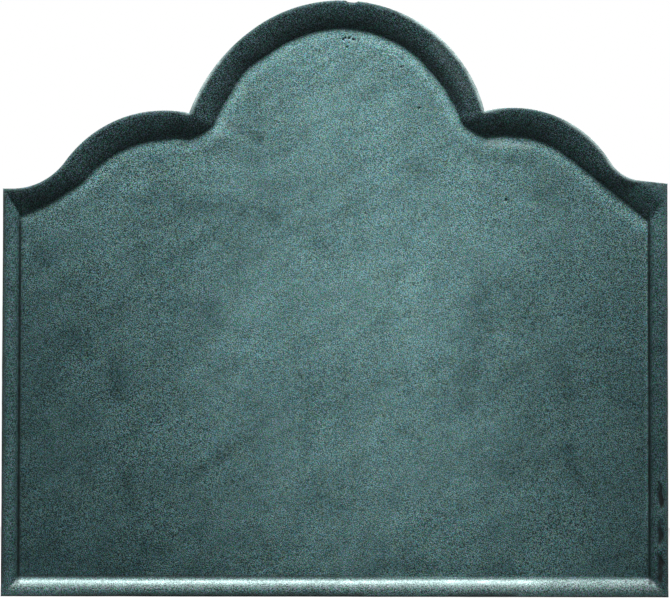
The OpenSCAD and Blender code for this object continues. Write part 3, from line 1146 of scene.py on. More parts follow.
@dataclass(frozen=True)
class CastPlate:
    """The plate: panel, moulded rim, rough back and the tapped bosses on it.

    The section of a boss is two rows of steps, in millimetres. At its root they are how far out
    from its wall and how high; at its top, how far out from its wall and how far below the top.
    """

    outline: Outline = Outline()
    panel_t: float = 12 * MM
    rim_rise: float = 10 * MM
    back_round: float = 1.2 * MM
    wall_steps: int = 6
    arris_steps: int = 4
    curve_steps: int = 15
    curve_end: float = 78
    fillet_steps: int = 4
    front_grid: float = 2.6 * MM
    back_grid: float = 6 * MM
    grid_rows: float = 0.87
    grid_shake: float = 0.14
    boss_r: float = 15 * MM
    boss_rise: float = 6 * MM
    boss_root: tuple[tuple[float, float], ...] = ((3.2, 0), (2.2, 0.25), (1.5, 1), (1.1, 2.2))
    boss_top: tuple[tuple[float, float], ...] = ((0.5, 1.4), (0.1, 0.5), (-0.5, 0), (-4, 0), (-7, 0))
    tap_r: float = 5.05 * MM
    tap_chamfer: tuple[float, float] = (0.9 * MM, 0.8 * MM)
    thread_r: float = 4.4 * MM
    tap_depth: float = 14 * MM
    thread_pitch: float = 1.5 * MM
    ring_points: int = 56
    tie_x: float = 150 * MM
    tie_h: float = 380 * MM
    waves: tuple[tuple[float, float], ...] = (mm(60, 0.35), mm(17, 0.16), mm(6, 0.10))
    pits: tuple[Pit, ...] = marks(
        Pit,
        (297.9, 90, 2.4, 9, 1.7), (297.2, 101, 1.5, 4, 1.2, 0.8), (297.3, 56, 2.4, 8, 1.8),
        (297, 31, 2.5, 7, 1.7), (297.6, 19, 2.2, 6, 1.5), (297.6, 67, 1.3, 4, 1, 0.6),
        (297.8, 114, 1, 4, 0.6, 0.5), (6.8, 512, 1, 0.8, 0.7, 0.9), (9.6, 513.2, 0.8, 0.7, 0.5, 0.8),
        (12.4, 513, 1, 0.7, 0.6, 0.9), (16.2, 512, 1, 0.8, 0.7, 0.8), (10.3, 504.8, 0.9, 0.7, 0.6, 0.7),
        (60.7, 486.5, 0.9, 0.7, 0.5, 0.6), (77.5, 448.8, 0.9, 0.7, 0.5, 0.7),
        (157, 363.8, 0.8, 0.7, 0.6, 0.9), (15.4, 547.5, 4.2, 3.4, 2.4, 0.2),
    )
    # Scuffs on the panel, and painted highlights at the two notches, along the foot of the right shoulder's
    # rim and on the right haunch's moulding.
    streak_set: tuple[Rub, ...] = marks(
        Rub,
        (-104, 435.5, -88, 427, 1.4, 0.5), (-108, 425.5, -104, 423, 1.7, 0.7),
        (-92, 470, -84, 466, 1.6, 0.35), (-137.6, 446, -136.5, 442.5, 1.8, 1),
        (138.4, 447.5, 143.5, 447, 2, 1), (141, 417, 153, 416, 2.6, 1), (153, 415.5, 180, 413, 2, 0.7),
        (90, 508, 123, 463, 4.5, 0.16),
    )
    # Stretches of the top's outer arris where the painted highlight is strongest.
    arris_glints: tuple[Rub, ...] = marks(
        Rub,
        (78, 528, 133, 456, 16, 1), (-109, 490, -129.5, 455, 13, 0.8), (220, 433, 266, 387, 13, 0.7),
    )
    stains: tuple[Rub, ...] = marks(
        Rub,
        (-97, 434.5, -93, 431, 2.4, 0.6), (-90, 430, -87, 426, 3.2, 0.6), (-78, 424, -70, 421, 4.5, 0.7),
        (-108, 415, -78, 401, 9, 0.35), (-23, 476, -22, 468, 5, 0.3), (35, 464, 39, 462, 5, 0.3),
        (58, 394, 78, 389, 9, 0.35), (133, 403, 160, 402, 6, 0.55), (186, 372, 193, 366, 8, 0.3),
        (-26, 380, -11, 378, 5, 0.3), (-146, 361, -56, 351, 8, 0.32), (-190, 365, -160, 363, 4, 0.3),
        (-100, 331, -88, 324, 12, 0.25), (-24, 325, -8, 320, 6, 0.35), (48, 322, 84, 318, 6, 0.3),
        (-272, 318, -266, 308, 8, 0.3), (-116, 265, -108, 247, 9, 0.36), (-240, 240, -228, 230, 10, 0.3),
        (-201, 214, -197, 184, 8, 0.35), (140, 286, 130, 240, 13, 0.42), (168, 268, 176, 256, 12, 0.25),
        (126, 200, 120, 178, 9, 0.35), (66, 194, 68, 188, 6, 0.4), (58, 151, 74, 148, 5, 0.4),
        (-26, 200, -14, 190, 8, 0.25), (-28, 152, -26, 124, 6, 0.3), (-124, 113, -84, 144, 7, 0.34),
        (146, 120, 158, 114, 7, 0.25), (216, 134, 222, 108, 7, 0.4), (208, 204, 216, 184, 8, 0.3),
        (-172, 45, -152, 41, 8, 0.3), (-192, 112, -186, 82, 8, 0.3), (-46, 118, -36, 112, 9, 0.25),
        (-20, 96, 30, 60, 14, 0.2), (20, 26, 160, 24, 8, 0.35), (-210, 26, -80, 24, 7, 0.15),
    )
    # Pale scuffs and flecks, with painted glints along the right side's crease and just below the right
    # shoulder's rim.
    pale_marks_and_glints: tuple[Rub, ...] = marks(
        Rub,
        (-205, 385, -180, 376, 9, 0.5), (104, 398, 110, 394, 10, 0.4), (144, 418, 160, 416, 2.5, 0.9),
        (-112, 428, -98, 424, 4, 0.8), (-98, 232, -76, 226, 11, 0.35), (20, 306, 46, 286, 13, 0.35),
        (-290, 354, -283, 352, 4.5, 1), (-280, 345, -268, 343, 5, 0.6), (-284, 323, -282, 314, 2.5, 0.7),
        (-281, 340, -279, 336, 3, 0.5), (-268, 296, -178, 330, 4, 0.35), (-262, 334, -200, 352, 4, 0.3),
        (56, 282, 96, 312, 4, 0.35), (34, 272, 60, 262, 4, 0.25), (238, 164, 242, 140, 11, 0.3),
        (116, 98, 168, 84, 16, 0.35), (286.5, 60, 286.4, 345, 0.9, 0.8), (-162, 140, -150, 130, 10, 0.25),
        (-130, 214, -120, 204, 8, 0.25),
    )
    # Painted shade along the bottom arris, which faces down, and at the left side's top corner.
    edge_shade: tuple[Rub, ...] = marks(
        Rub,
        (-250, 1.2, -197, 1.4, 1.4, 0.8), (-197, 1.4, 25, 1.4, 2, 1), (87, 1.4, 93, 1.4, 1.8, 0.7),
        (104, 1.4, 165, 1.4, 2, 0.95), (-303, 372, -290, 370, 7, 0.4),
    )
    # Where the painted pool of light on the panel is centred, and how far it spreads to each side, in
    # millimetres.
    glow_x: float = 40
    glow_left: float = 210
    glow_right: float = 178

    @property
    def edge_t(self) -> float:
        """Thickness at the rim."""
        return self.panel_t + self.rim_rise

    @property
    def boss_reach(self) -> float:
        """Radius of a boss's root."""
        return self.boss_r + self.boss_root[0][0] * MM

    def bosses(self) -> list[tuple[float, float, bool]]:
        """Each boss's x, height, and whether a bolt fills it."""
        ties = [(side.value * self.tie_x, self.tie_h, False) for side in Side]
        return ties + [(side.value * LEG_X, h, True) for side in Side for h in BOLT_H]

    def profile(self) -> list[tuple[str, float, float]]:
        """The rim's section, from the back to the panel.

        Returns:
            For each ring: the stretch it is on, how far along that stretch it is, and its
            thickness coordinate.
        """
        r, arris = self.back_round, self.outline.arris
        wall = self.edge_t - arris - r
        rings = []
        for turn in np.radians([0, 30, 60]):
            rings.append(("back", r * (1 - math.sin(turn)), r * (1 - math.cos(turn))))
        for i in range(self.wall_steps + 1):
            rings.append(("back", 0.0, r + wall * i / self.wall_steps))
        for turn in np.radians(90) * np.arange(1, self.arris_steps + 1) / self.arris_steps:
            rings.append(("arris", 1 - math.cos(turn), self.edge_t - arris * (1 - math.sin(turn))))
        for i in range(self.curve_steps + 1):
            rings.append(("curve", self.curve_end * i / self.curve_steps, 0.0))
        return rings

    def ring(self, stations: np.ndarray, part: str, along: float, height: float) -> np.ndarray:
        """The points of one ring round the plate.

        Args:
            stations: the outline's stations.
            part: the stretch of the section that the ring is on.
            along: how far along that stretch.
            height: the ring's thickness coordinate.

        Returns:
            Rows of x, plan height and thickness.
        """
        if part == "curve":
            return self.curve_ring(stations, along)
        share = along / self.outline.arris if part == "back" else along
        plan = stations[:, 0] + (stations[:, 1] - stations[:, 0]) * share
        return np.column_stack([plan, np.full(len(plan), height)])

    def curve_ring(self, stations: np.ndarray, angle: float) -> np.ndarray:
        """A ring on the rim's curve.

        Args:
            stations: the outline's stations.
            angle: how far round the curve, in degrees: 0 at its start, 90 at its foot.

        Returns:
            Rows of x, plan height and thickness.
        """
        turn = math.radians(angle)
        power = 2 / self.outline.section_fullness(stations)
        start, foot = stations[:, 2], stations[:, 3]
        plan = start + (foot - start) * (math.sin(turn) ** power)[:, None]
        return np.column_stack([plan, self.panel_t + self.rim_rise * math.cos(turn) ** power])

    def fillet_rings(self, stations: np.ndarray) -> list[np.ndarray]:
        """The soft inside corner between the rim's curve and the panel.

        Args:
            stations: the outline's stations.

        Returns:
            Its rings, each as rows of x, plan height and thickness.
        """
        low = self.curve_ring(stations, self.curve_end)
        foot, inner = stations[:, 3], stations[:, 4]
        rings = []
        for i in range(1, self.fillet_steps + 1):
            t = i / self.fillet_steps
            plan = (1 - t) ** 2 * low[:, :2] + 2 * t * (1 - t) * foot + t**2 * inner
            height = self.panel_t + (1 - t) ** 2 * (low[:, 2] - self.panel_t)
            rings.append(np.column_stack([plan, height]))
        return rings

    def grid(self, loop: np.ndarray, step: float, margin: float) -> np.ndarray:
        """Points in staggered rows inside a loop, each a little out of place.

        Args:
            loop: the loop's points.
            step: the points' spacing.
            margin: how far they keep from the loop.

        Returns:
            Rows of x and plan height.
        """
        low, high = loop.min(0), loop.max(0)
        rows = []
        for i, height in enumerate(np.arange(low[1], high[1], step * self.grid_rows)):
            across = np.arange(low[0] + (i % 2) * step / 2, high[0], step)
            rows.append(np.column_stack([across, np.full(len(across), height)]))
        points = np.vstack(rows)
        shake = np.random.default_rng(SEED).uniform(-self.grid_shake, self.grid_shake, points.shape)
        points += shake * step
        points = points[inside(points, loop)]
        return points[nearest(points, loop) > margin]

    def boss_rings(self, solid: SolidMesh, x: float, z: float, bolted: bool) -> np.ndarray:
        """One boss with its hole, from its root in to the hole's bottom.

        Args:
            solid: the mesh being built.
            x: the boss's place across the plate.
            z: its height.
            bolted: whether a bolt fills the hole.

        Returns:
            The numbers of the root ring's points.
        """
        rise, chamfer = self.boss_rise, self.tap_chamfer
        section = [(self.boss_r + out * MM, up * MM) for out, up in self.boss_root]
        section += [(self.boss_r + out * MM, rise - down * MM) for out, down in self.boss_top]
        section += [(self.tap_r + chamfer[0], rise), (self.tap_r, rise - chamfer[1])]
        grooves = 0 if bolted else int((self.tap_depth - 2 * self.thread_pitch) / self.thread_pitch)
        for i in range(grooves):
            depth = rise - (0.8 + i) * self.thread_pitch
            section.append((self.thread_r, depth - 0.35 * self.thread_pitch))
            section.append((self.tap_r, depth - 0.9 * self.thread_pitch))
        section += [(share * self.tap_r, rise - self.tap_depth) for share in (1, 0.5)]
        turns = np.linspace(0, 2 * math.pi, self.ring_points, endpoint=False)
        circle = np.column_stack([np.cos(turns), np.sin(turns)])
        rings = []
        for radius, out in section:
            plan = np.array([x, z]) + radius * circle
            rings.append(solid.add(np.column_stack([plan, np.full(len(plan), -out)])))
        for outer, inner in zip(rings, rings[1:]):
            solid.strip(outer, inner)
        solid.faces.append(tuple(int(i) for i in rings[-1]))
        return rings[0]

    def shade_and_soot(
        self, stations: np.ndarray, parts: list[str], rings: list[np.ndarray]
    ) -> list[np.ndarray]:
        """How much painted shade, with some soot, the casting takes along each ring.

        The painted shade stands for the shade under the shaped top's down-facing moulding: deeper
        where the slope faces sideways, lighter along the right side's land, softly starting at the crest
        and fading over the fillet. The left side's rim takes it just under its top corner, but for a pale
        patch beside it.

        Args:
            stations: the outline's stations.
            parts: the stretch of the section that each ring is on.
            rings: each ring's points.

        Returns:
            For each ring, a value from 0 to 1 at each station.
        """
        top = self.outline.on_top(stations).astype(float)
        inwards = stations[:, 3] - stations[:, 0]
        sideways = np.abs(inwards[:, 0]) / np.linalg.norm(inwards, axis=1)
        land = ramp(stations[:, 0, 0] / MM, 248, 280)
        rows = []
        for i, part in enumerate(parts):
            level = top * {"back": 0.0, "arris": 0.5}.get(part, 1.0)
            if part == "curve":
                along = (i - parts.index("curve")) / parts.count("curve")
                level *= (0.86 + 0.14 * sideways) * (1 - 0.9 * land * (1 - along * along))
                level *= 1 - 0.4 * max(0, 1 - along / 0.18)
            if part == "fillet":
                level *= max(0, 1 - 2.2 * (i - parts.index("fillet") + 1) / self.fillet_steps)
            if part in ("curve", "fillet"):
                x, z = rings[i][:, 0] / MM, rings[i][:, 1] / MM
                level = np.maximum(level, ramp(z, 359, 364) * (x < -287))
                level = level * (1 - 0.95 * ramp(x, -277, -285) * ramp(z, 361, 356))
            rows.append(level)
        return rows

    def pit_points(self) -> np.ndarray:
        """Extra points round the voids in the panel, so that they come out round.

        Returns:
            Rows of x and plan height.
        """
        turns = np.linspace(0, 2 * math.pi, 14, endpoint=False)
        rings = []
        for pit in self.pits:
            for share in (0.05, 0.35, 0.65, 0.95, 1.3):
                circle = np.column_stack([np.cos(turns + share), np.sin(turns + share)])
                rings.append(([pit.x, pit.z] + share * circle * [pit.half_w, pit.half_h]) * MM)
        return np.vstack(rings)

    def back(self, solid: SolidMesh, edge: np.ndarray, rear: np.ndarray) -> None:
        """Covers the back, with the bosses and without what lies under them.

        Args:
            solid: the mesh being built.
            edge: the numbers of the points round the back.
            rear: those points, as rows of x and plan height.
        """
        points = self.grid(rear, self.back_grid, 0.5 * self.back_grid)
        loops = [edge]
        for x, z, bolted in self.bosses():
            gap = np.hypot(points[:, 0] - x, points[:, 1] - z)
            points = points[gap > self.boss_reach + 0.4 * self.back_grid]
            loops.append(self.boss_rings(solid, x, z, bolted))
        before = len(solid.faces)
        solid.sheet(loops, points, 0.0)
        place = np.array(solid.points)
        under = self.boss_reach * math.cos(math.pi / self.ring_points) - solid.weld / 2
        kept = []
        for face in solid.faces[before:]:
            middle = place[list(face)].mean(0)
            if min(math.hypot(middle[0] - x, middle[1] - z) for x, z, _ in self.bosses()) > under:
                kept.append(face)
        solid.faces[before:] = kept

    def skin(self) -> SolidMesh:
        """The whole casting, lying on its back.

        Returns:
            Its points and faces.
        """
        solid = SolidMesh()
        stations, profile = self.outline.stations(), self.profile()
        rings = [self.ring(stations, *row) for row in profile] + self.fillet_rings(stations)
        parts = [part for part, _, _ in profile] + ["fillet"] * self.fillet_steps
        ids = [solid.add(ring, shade_and_soot) for ring, shade_and_soot in zip(rings, self.shade_and_soot(stations, parts, rings))]
        for lower, upper in zip(ids, ids[1:]):
            solid.strip(lower, upper)
        crease = rings[-1][:, :2]
        points = self.grid(crease, self.front_grid, 0.6 * self.front_grid)
        extra = self.pit_points()
        extra = extra[inside(extra, crease)]
        extra = extra[nearest(extra, crease) > MM]
        points = points[nearest(points, extra) > 0.5 * MM]
        solid.sheet([ids[-1]], np.vstack([points, extra]), self.panel_t)
        self.back(solid, ids[0], rings[0][:, :2])
        return solid

    def stand_up(self, solid: SolidMesh) -> None:
        """Turns the casting from lying on its back to standing, its front towards -Y."""
        x, up, out = np.array(solid.points).T
        solid.points = list(zip(x, self.edge_t / 2 - out, up))

    def dress(self, obj: bpy.types.Object) -> None:
        """Sinks the voids and stores the masks that the finish reads.

        Args:
            obj: the plate's object.
        """
        place, normal = read_points(obj.data)
        face = PlateFace(self, place)
        masks = face.masks()
        for i, pit in enumerate(self.pits):
            hollow = face.hollow(pit, 2.1 * i)
            place = place - normal * (pit.depth * MM * hollow)[:, None]
            masks["void"] = np.maximum(masks["void"], hollow * pit.dark)
        move_points(obj.data, place)
        for name, values in masks.items():
            store_mask(obj.data, name, values)

    def build(self, groups: Groups) -> bpy.types.Object:
        """Builds the plate.

        Args:
            groups: the shared shader node groups.

        Returns:
            The plate's object.
        """
        solid = self.skin()
        self.stand_up(solid)
        obj = solid.build("plate_casting")
        roughen(obj, self.waves, SEED)
        self.dress(obj)
        hand_over(obj, "cast_plate", PlateIron().material(groups))
        return obj


class PlateFace:
    """Where the standing plate's points lie on its face, in millimetres, and the marks, painted light and
    painted shade on them.
    """

    side_from: float = 12
    side_to: float = 366
    bead_foot: float = 18.1
    bead_crest: float = 14.2
    halo_gap: float = 4.5
    nick_from: float = 540

    def __init__(self, plate: CastPlate, place: np.ndarray) -> None:
        """Measures the points.

        Args:
            plate: the plate's sizes.
            place: rows of the points' places.
        """
        self.plate, self.plan = plate, place[:, [0, 2]]
        self.x, self.z = self.plan.T / MM
        self.left = self.x < 0
        stations, depth = plate.outline.stations(), plate.edge_t / 2 + place[:, 1]
        self.to_top = nearest(self.plan, stations[plate.outline.on_top(stations), 3]) / MM
        self.to_edge = nearest(self.plan, stations[:, 1]) / MM
        self.to_side = plate.outline.width / 2 / MM - np.abs(self.x)
        self.to_right = ramp(self.x, 0, 120)
        self.front = place[:, 1] < -0.2 * MM
        self.on_panel = self.front & (depth > plate.rim_rise - 0.5 * MM)
        self.on_rim = depth < 2 * MM
        self.on_side = self.front & (self.z > self.side_from) & (self.z < self.side_to)

    def streaks(self, streak_set: tuple[Rub, ...]) -> np.ndarray:
        """How strongly each point of the front lies on a set of streaks.

        Args:
            streak_set: the streaks.

        Returns:
            A value from 0 to 1 for each point.
        """
        found = np.zeros(len(self.plan))
        for streak_mark in streak_set:
            a, b = np.array([streak_mark.start_x, streak_mark.start_z]) * MM, np.array([streak_mark.end_x, streak_mark.end_z]) * MM
            share = np.clip((self.plan - a) @ (b - a) / ((b - a) @ (b - a)), 0, 1)
            gap = np.linalg.norm(self.plan - (a + share[:, None] * (b - a)), axis=1)
            found = np.maximum(found, streak_mark.strength * swell(gap, 0, streak_mark.half_w * MM))
        return np.where(self.front, found, 0)

    def hollow(self, pit: Pit, phase: float) -> np.ndarray:
        """How far down a void each point lies.

        Args:
            pit: the void.
            phase: where its bent outline starts.

        Returns:
            A value from 0 to 1 for each point.
        """
        bend = 0.35 * np.sin(0.35 * self.z + phase)
        off = np.hypot((self.x - pit.x) / pit.half_w + bend, (self.z - pit.z) / pit.half_h)
        return np.where(self.front | (self.z > self.nick_from), ramp(off, 1.3, 0.85), 0)

    def side_crease_shade_and_edges(self) -> np.ndarray:
        """Painted shade in the creases at the feet of the side rims, and darker arrises along the sides.

        Returns:
            A value from 0 to 1 for each point.
        """
        outline, left = self.plate.outline, self.left
        from_foot = np.where(left, outline.left.side_rim, outline.right.side_rim) / MM - self.to_side
        crease = swell(from_foot, np.where(left, 0.0, 0.4), 1.25, 4)
        shade = np.where(left, 0.4, 0.62) * swell(from_foot, 0, 3.6) * (from_foot > 0)
        arris = swell(self.to_side, 0, 1.4, 4) * np.where(left, 0.97, 0.7)
        wall = swell(self.to_side, 0, 3.6, 2.6) * np.where(left, 0.88, 0.15)
        low = np.maximum(crease, shade) * ramp(self.z, 352, 342)
        return np.maximum(low, np.maximum(arris, wall) * ramp(self.to_side, 0, 0.1))

    def front_crease_shade(self) -> np.ndarray:
        """Painted shade: dark lines in the creases along the top rim's foot and above the bottom bead, and
        on the arch's haunches by their foot.

        Returns:
            A value for each point, from 0 to about 1.
        """
        at_right = 0.75 * ramp(self.x, 40, 80) * swell(self.to_top, 5, 4.2)
        at_left = 0.4 * ramp(self.x, 0, -50) * swell(self.to_top, 5, 8)
        arch = (at_right + at_left) * ramp(self.z, 440, 455) * ~self.on_panel
        bead = (0.85 - 0.6 * self.to_right) * swell(self.z, self.bead_foot, 1.2)
        return 0.25 * swell(self.to_top, 0, 1.5) + bead * (self.to_side > self.z) + arch

    def glow(self) -> np.ndarray:
        """A painted pool of light on the blacking: most in the middle of the panel, least on the rim.

        Returns:
            A value for each point: 0 for the dark blacking, and 1 for the most painted light.
        """
        x, z, plate = self.x, self.z, self.plate
        spread = np.where(x < plate.glow_x, plate.glow_left, plate.glow_right)
        across = swell(x, plate.glow_x, spread)
        panel = across * (1 + 0.2 * swell(z, 250, 110))
        panel += 0.28 * (1 - across) * swell(z, 370, 60)
        panel -= (0.16 + 0.14 * across) * swell(z, 0, 70)
        rim = 0.14 - 0.12 * x / 300 - 0.12 * swell(z, 0, 120) * (x < -280)
        return np.where(self.on_panel, panel, np.where(self.front, rim, 0.5))

    def bead_highlight(self) -> np.ndarray:
        """The painted highlight along the bottom bead, between its mitres.

        Returns:
            A value from 0 to 1 for each point.
        """
        off = self.z - self.bead_crest - 0.6 * self.to_right
        bead_shine = swell(off, 0, np.where(off < 0, 5.6 + 1.6 * self.to_right, 1.7))
        return bead_shine * ramp(self.to_side - self.z, -1, 1) * (1 - 0.3 * ramp(self.x, 180, 200))

    def masks(self) -> dict[str, np.ndarray]:
        """The masks that the finish reads.

        Returns:
            A value for each point, by the mask's name.
        """
        plate, front = self.plate, self.front
        # A painted highlight: the panel lighter in a band just below the top rim's foot.
        halo = swell(self.to_top, self.halo_gap, np.where(self.to_top < self.halo_gap, 2.5, 6))
        wear_and_highlight = np.where(self.on_side, 0.05, 0.08 + self.streaks(plate.arris_glints))
        return {
            # Painted shade in the creases, and darker side arrises.
            "crease_shade_and_dark_edges": np.where(self.on_side, self.side_crease_shade_and_edges(), 0) + np.where(front, self.front_crease_shade(), 0),
            # A painted highlight along the outer arris, faint on the sides.
            "arris_highlight": np.where(self.on_rim, swell(self.to_edge, 0, 1.5), 0) * wear_and_highlight,
            "glow": self.glow(),
            "halo": np.where(self.on_panel, halo, 0),
            "bead_highlight": np.where(front, self.bead_highlight(), 0),
            "streak_mark": self.streaks(plate.streak_set),
            "stain": self.streaks(plate.stains),
            "pale": self.streaks(plate.pale_marks_and_glints),
            "edge_shade": self.streaks(plate.edge_shade),
            "void": np.zeros(len(self.plan)),
        }


# ---- The legs


@dataclass(frozen=True)
class CastLeg:
    """A cast bracket: an upright on two bosses, a foot on the hearth and a curved web."""

    side: Side
    face_y: float = 17 * MM
    width: float = 32 * MM
    upright_t: float = 7 * MM
    foot_t: float = 8 * MM
    foot_len: float = 120 * MM
    web_size: float = 70 * MM
    web_t: float = 7 * MM
    web_toe: float = 6 * MM
    web_root: float = 3 * MM
    hole_r: float = 5.5 * MM
    voxel: float = 1.3 * MM
    softness: float = 0.5
    softenings: int = 7
    waves: tuple[tuple[float, float], ...] = (mm(22, 0.3), mm(7, 0.15))

    @property
    def x(self) -> float:
        """The leg's place across the plate."""
        return self.side.value * LEG_X

    def prism(self, work: bmesh.types.BMesh, outline: list[Vector], reach: Vector) -> None:
        """Adds a closed prism to a mesh.

        Args:
            work: the mesh.
            outline: the points of its base.
            reach: from the base to its other end.
        """
        base = work.faces.new([work.verts.new(p) for p in outline])
        grown = bmesh.ops.extrude_face_region(work, geom=[base])
        moved = [v for v in grown["geom"] if isinstance(v, bmesh.types.BMVert)]
        bmesh.ops.translate(work, verts=moved, vec=reach)

    def web(self) -> list[Vector]:
        """The web's outline, which runs into the upright and the foot.

        Returns:
            Its points, on the web's left face.
        """
        wall = self.face_y + self.upright_t
        hollow = np.array([wall + self.web_size, self.foot_t + self.web_size])
        radius = self.web_size - self.web_toe
        points = [
            (wall - self.web_root, self.foot_t - self.web_root),
            (hollow[0], self.foot_t - self.web_root),
            (hollow[0], self.foot_t + self.web_toe),
            *(polar(hollow, radius, turn) for turn in range(-84, -180, -6)),
            (wall + self.web_toe, hollow[1]),
            (wall - self.web_root, hollow[1]),
        ]
        return [Vector((self.x - self.web_t / 2, *point)) for point in points]

    def solid(self) -> bmesh.types.BMesh:
        """The leg's plain solids, overlapping where they meet.

        Returns:
            The mesh being worked on.
        """
        work = bmesh.new()
        x, y, half = self.x, self.face_y, self.width / 2
        arc = [polar(np.zeros(2), half, turn) for turn in range(0, 181, 9)]
        base = [Vector((x - half, y, 0)), Vector((x + half, y, 0))]
        upright = [Vector((x + across, y, max(BOLT_H) + up)) for across, up in arc]
        foot = [Vector((x + across, y + self.foot_len - half + out, 0)) for across, out in arc]
        self.prism(work, base + upright, Vector((0, self.upright_t, 0)))
        self.prism(work, base + foot, Vector((0, 0, self.foot_t)))
        self.prism(work, self.web(), Vector((self.web_t, 0, 0)))
        bmesh.ops.recalc_face_normals(work, faces=work.faces)
        return work

    def drill(self, obj: bpy.types.Object) -> None:
        """Cuts the two bolt holes through the upright.

        Args:
            obj: the leg's object.
        """
        work = bmesh.new()
        turn = Matrix.Rotation(math.radians(90), 4, "X")
        for h in BOLT_H:
            bmesh.ops.create_cone(
                work, cap_ends=True, segments=48, radius1=self.hole_r, radius2=self.hole_r,
                depth=4 * self.upright_t, matrix=Matrix.Translation((self.x, self.face_y, h)) @ turn,
            )
        cutter = place_object("drill", to_mesh("drill", work))
        cut = obj.modifiers.new("holes", "BOOLEAN")
        cut.operation, cut.object, cut.solver = "DIFFERENCE", cutter, "EXACT"
        apply_modifiers(obj)
        bpy.data.objects.remove(cutter)

    def build(self, iron: bpy.types.Material) -> bpy.types.Object:
        """Builds the leg.

        Args:
            iron: the legs' material.

        Returns:
            The leg's object.
        """
        name = f"{self.side.name.lower()}_leg"
        obj = place_object(name + "_casting", to_mesh(name + "_casting", self.solid()))
        melt = obj.modifiers.new("melt", "REMESH")
        melt.mode, melt.voxel_size = "VOXEL", self.voxel
        soft = obj.modifiers.new("soft", "SMOOTH")
        soft.factor, soft.iterations = self.softness, self.softenings
        apply_modifiers(obj)
        roughen(obj, self.waves, SEED + self.side.value)
        self.drill(obj)
        obj.data.shade_smooth()
        hand_over(obj, name, iron)
        return obj


# ---- The studio


@dataclass(frozen=True)
class Softbox:
    """A rectangular lamp aimed at a point of the object."""

    name: str
    place: tuple[float, float, float]
    aim: tuple[float, float, float]
    size: tuple[float, float]
    power: float

    def build(self) -> None:
        """Makes the lamp."""
        data = bpy.data.lights.new(self.name, "AREA")
        data.shape, data.energy = "RECTANGLE", self.power
        data.size, data.size_y = self.size
        lamp = place_object(self.name, data)
        lamp.location = self.place
        aim = Vector(self.aim) - Vector(self.place)
        lamp.rotation_euler = aim.to_track_quat("-Z", "Y").to_euler()


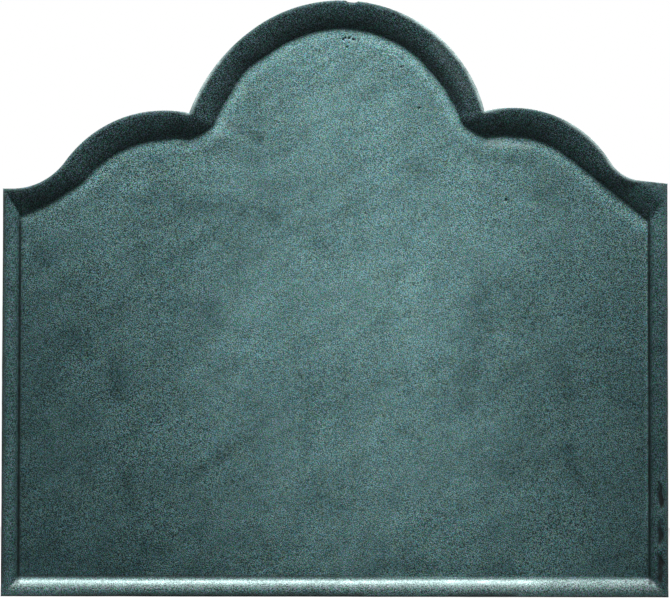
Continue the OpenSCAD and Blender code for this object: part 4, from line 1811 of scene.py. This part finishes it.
@dataclass(frozen=True)
class Studio:
    """A pale floor, soft lamps, and the camera where the photograph was taken from."""

    camera_place: tuple[float, float, float] = (-0.0001, -3.2095, 0.1313)
    pitch: float = 2.506
    roll: float = 0.101
    focal_pixels: float = 3496.8
    picture_width: int = 670
    sensor: float = 36.0
    sight: float = 50
    floor_size: float = 6.0
    floor_colour: Colour = (0.2, 0.2, 0.2, 1)
    bounce_colour: Colour = (0.06, 0.06, 0.06, 1)
    floor_lift: float = 0.7
    fill: float = 0.08
    lamps: tuple[Softbox, ...] = (
        Softbox("overhead", (0.0, -0.65, 1.88), (0.0, 0.0, 0.3), (1.5, 0.35), 82.0),
        Softbox("rear", (0.5, 2.0, 1.8), (0.0, 0.0, 0.25), (1.4, 1.0), 44.0),
    )

    def camera(self) -> None:
        """Makes the camera."""
        data = bpy.data.cameras.new("camera")
        data.sensor_fit, data.sensor_width = "HORIZONTAL", self.sensor
        data.lens = self.sensor * self.focal_pixels / self.picture_width
        data.clip_end = self.sight
        pitch, roll = math.radians(self.pitch), math.radians(self.roll)
        ahead = Vector((0, math.cos(pitch), math.sin(pitch)))
        level = Vector((1, 0, 0))
        rise = level.cross(ahead)
        right = level * math.cos(roll) + rise * math.sin(roll)
        up = rise * math.cos(roll) - level * math.sin(roll)
        turn = Matrix((right, up, -ahead)).transposed().to_4x4()
        obj = place_object("camera", data)
        obj.matrix_world = Matrix.Translation(self.camera_place) @ turn
        bpy.context.scene.camera = obj

    def floor(self) -> None:
        """Makes the pale floor."""
        half = self.floor_size / 2
        corners = [(-half, -half, 0), (half, -half, 0), (half, half, 0), (-half, half, 0)]
        mesh = bpy.data.meshes.new("floor")
        mesh.from_pydata(corners, [], [(0, 1, 2, 3)])
        paint = bpy.data.materials.new("floor")
        bench = fresh_bench(paint)
        colour = bench.mix(bench.seen(), self.bounce_colour, self.floor_colour)
        skin = bench.add("BsdfDiffuse", {"Color": colour})
        lift = bench.times(bench.seen(), self.floor_lift)
        glow = bench.add("Emission", {"Color": WHITE, "Strength": lift})
        both = bench.add("AddShader", {0: skin.outputs[0], 1: glow.outputs[0]})
        bench.add("OutputMaterial", {"Surface": both.outputs[0]})
        mesh.materials.append(paint)
        place_object("floor", mesh)

    def world(self) -> None:
        """Makes the white background, which lights the object less than it shows."""
        world = bpy.data.worlds.new("studio")
        bpy.context.scene.world = world
        bench = fresh_bench(world)
        strength = bench.plus(bench.times(bench.seen(), 1 - self.fill), self.fill)
        sky = bench.add("Background", {"Color": WHITE, "Strength": strength})
        bench.add("OutputWorld", {"Surface": sky.outputs[0]})

    def build(self) -> None:
        """Sets the stage."""
        self.camera()
        self.floor()
        self.world()
        for lamp in self.lamps:
            lamp.build()
        bpy.context.scene.view_settings.view_transform = "Standard"


# ---- The whole


BLACK_OXIDE = FastenerSteel(
    "bolt_steel", (0.030, 0.031, 0.034, 1), (0.10, 0.10, 0.105, 1), (0.48, 0.34), 900.0
)
DULL_ZINC = FastenerSteel(
    "washer_zinc", (0.33, 0.34, 0.35, 1), (0.52, 0.53, 0.54, 1), (0.52, 0.38), 700.0
)


def dress_fasteners(groups: Groups) -> None:
    """Gives the bolts and washers their finishes.

    Args:
        groups: the shared shader node groups.
    """
    black, zinc = BLACK_OXIDE.material(groups), DULL_ZINC.material(groups)
    for name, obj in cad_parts.items():
        if name.startswith("bolt_"):
            finish = black
        elif "washer" in name:
            finish = zinc
        else:
            continue
        obj.data.materials.clear()
        obj.data.materials.append(finish)
        LOG.info("%s takes %s", name, finish.name)


def main() -> None:
    """Builds the pieces in order."""
    Studio().build()
    groups = Groups()
    plate = CastPlate().build(groups)
    LOG.info("%s has %d faces", plate.name, len(plate.data.polygons))
    iron = LegIron().material(groups)
    for side in Side:
        leg = CastLeg(side).build(iron)
        LOG.info("%s has %d faces", leg.name, len(leg.data.polygons))
    dress_fasteners(groups)


if __name__ == "__main__":
    logging.basicConfig(level=logging.INFO, format="%(name)s: %(message)s")
    main()
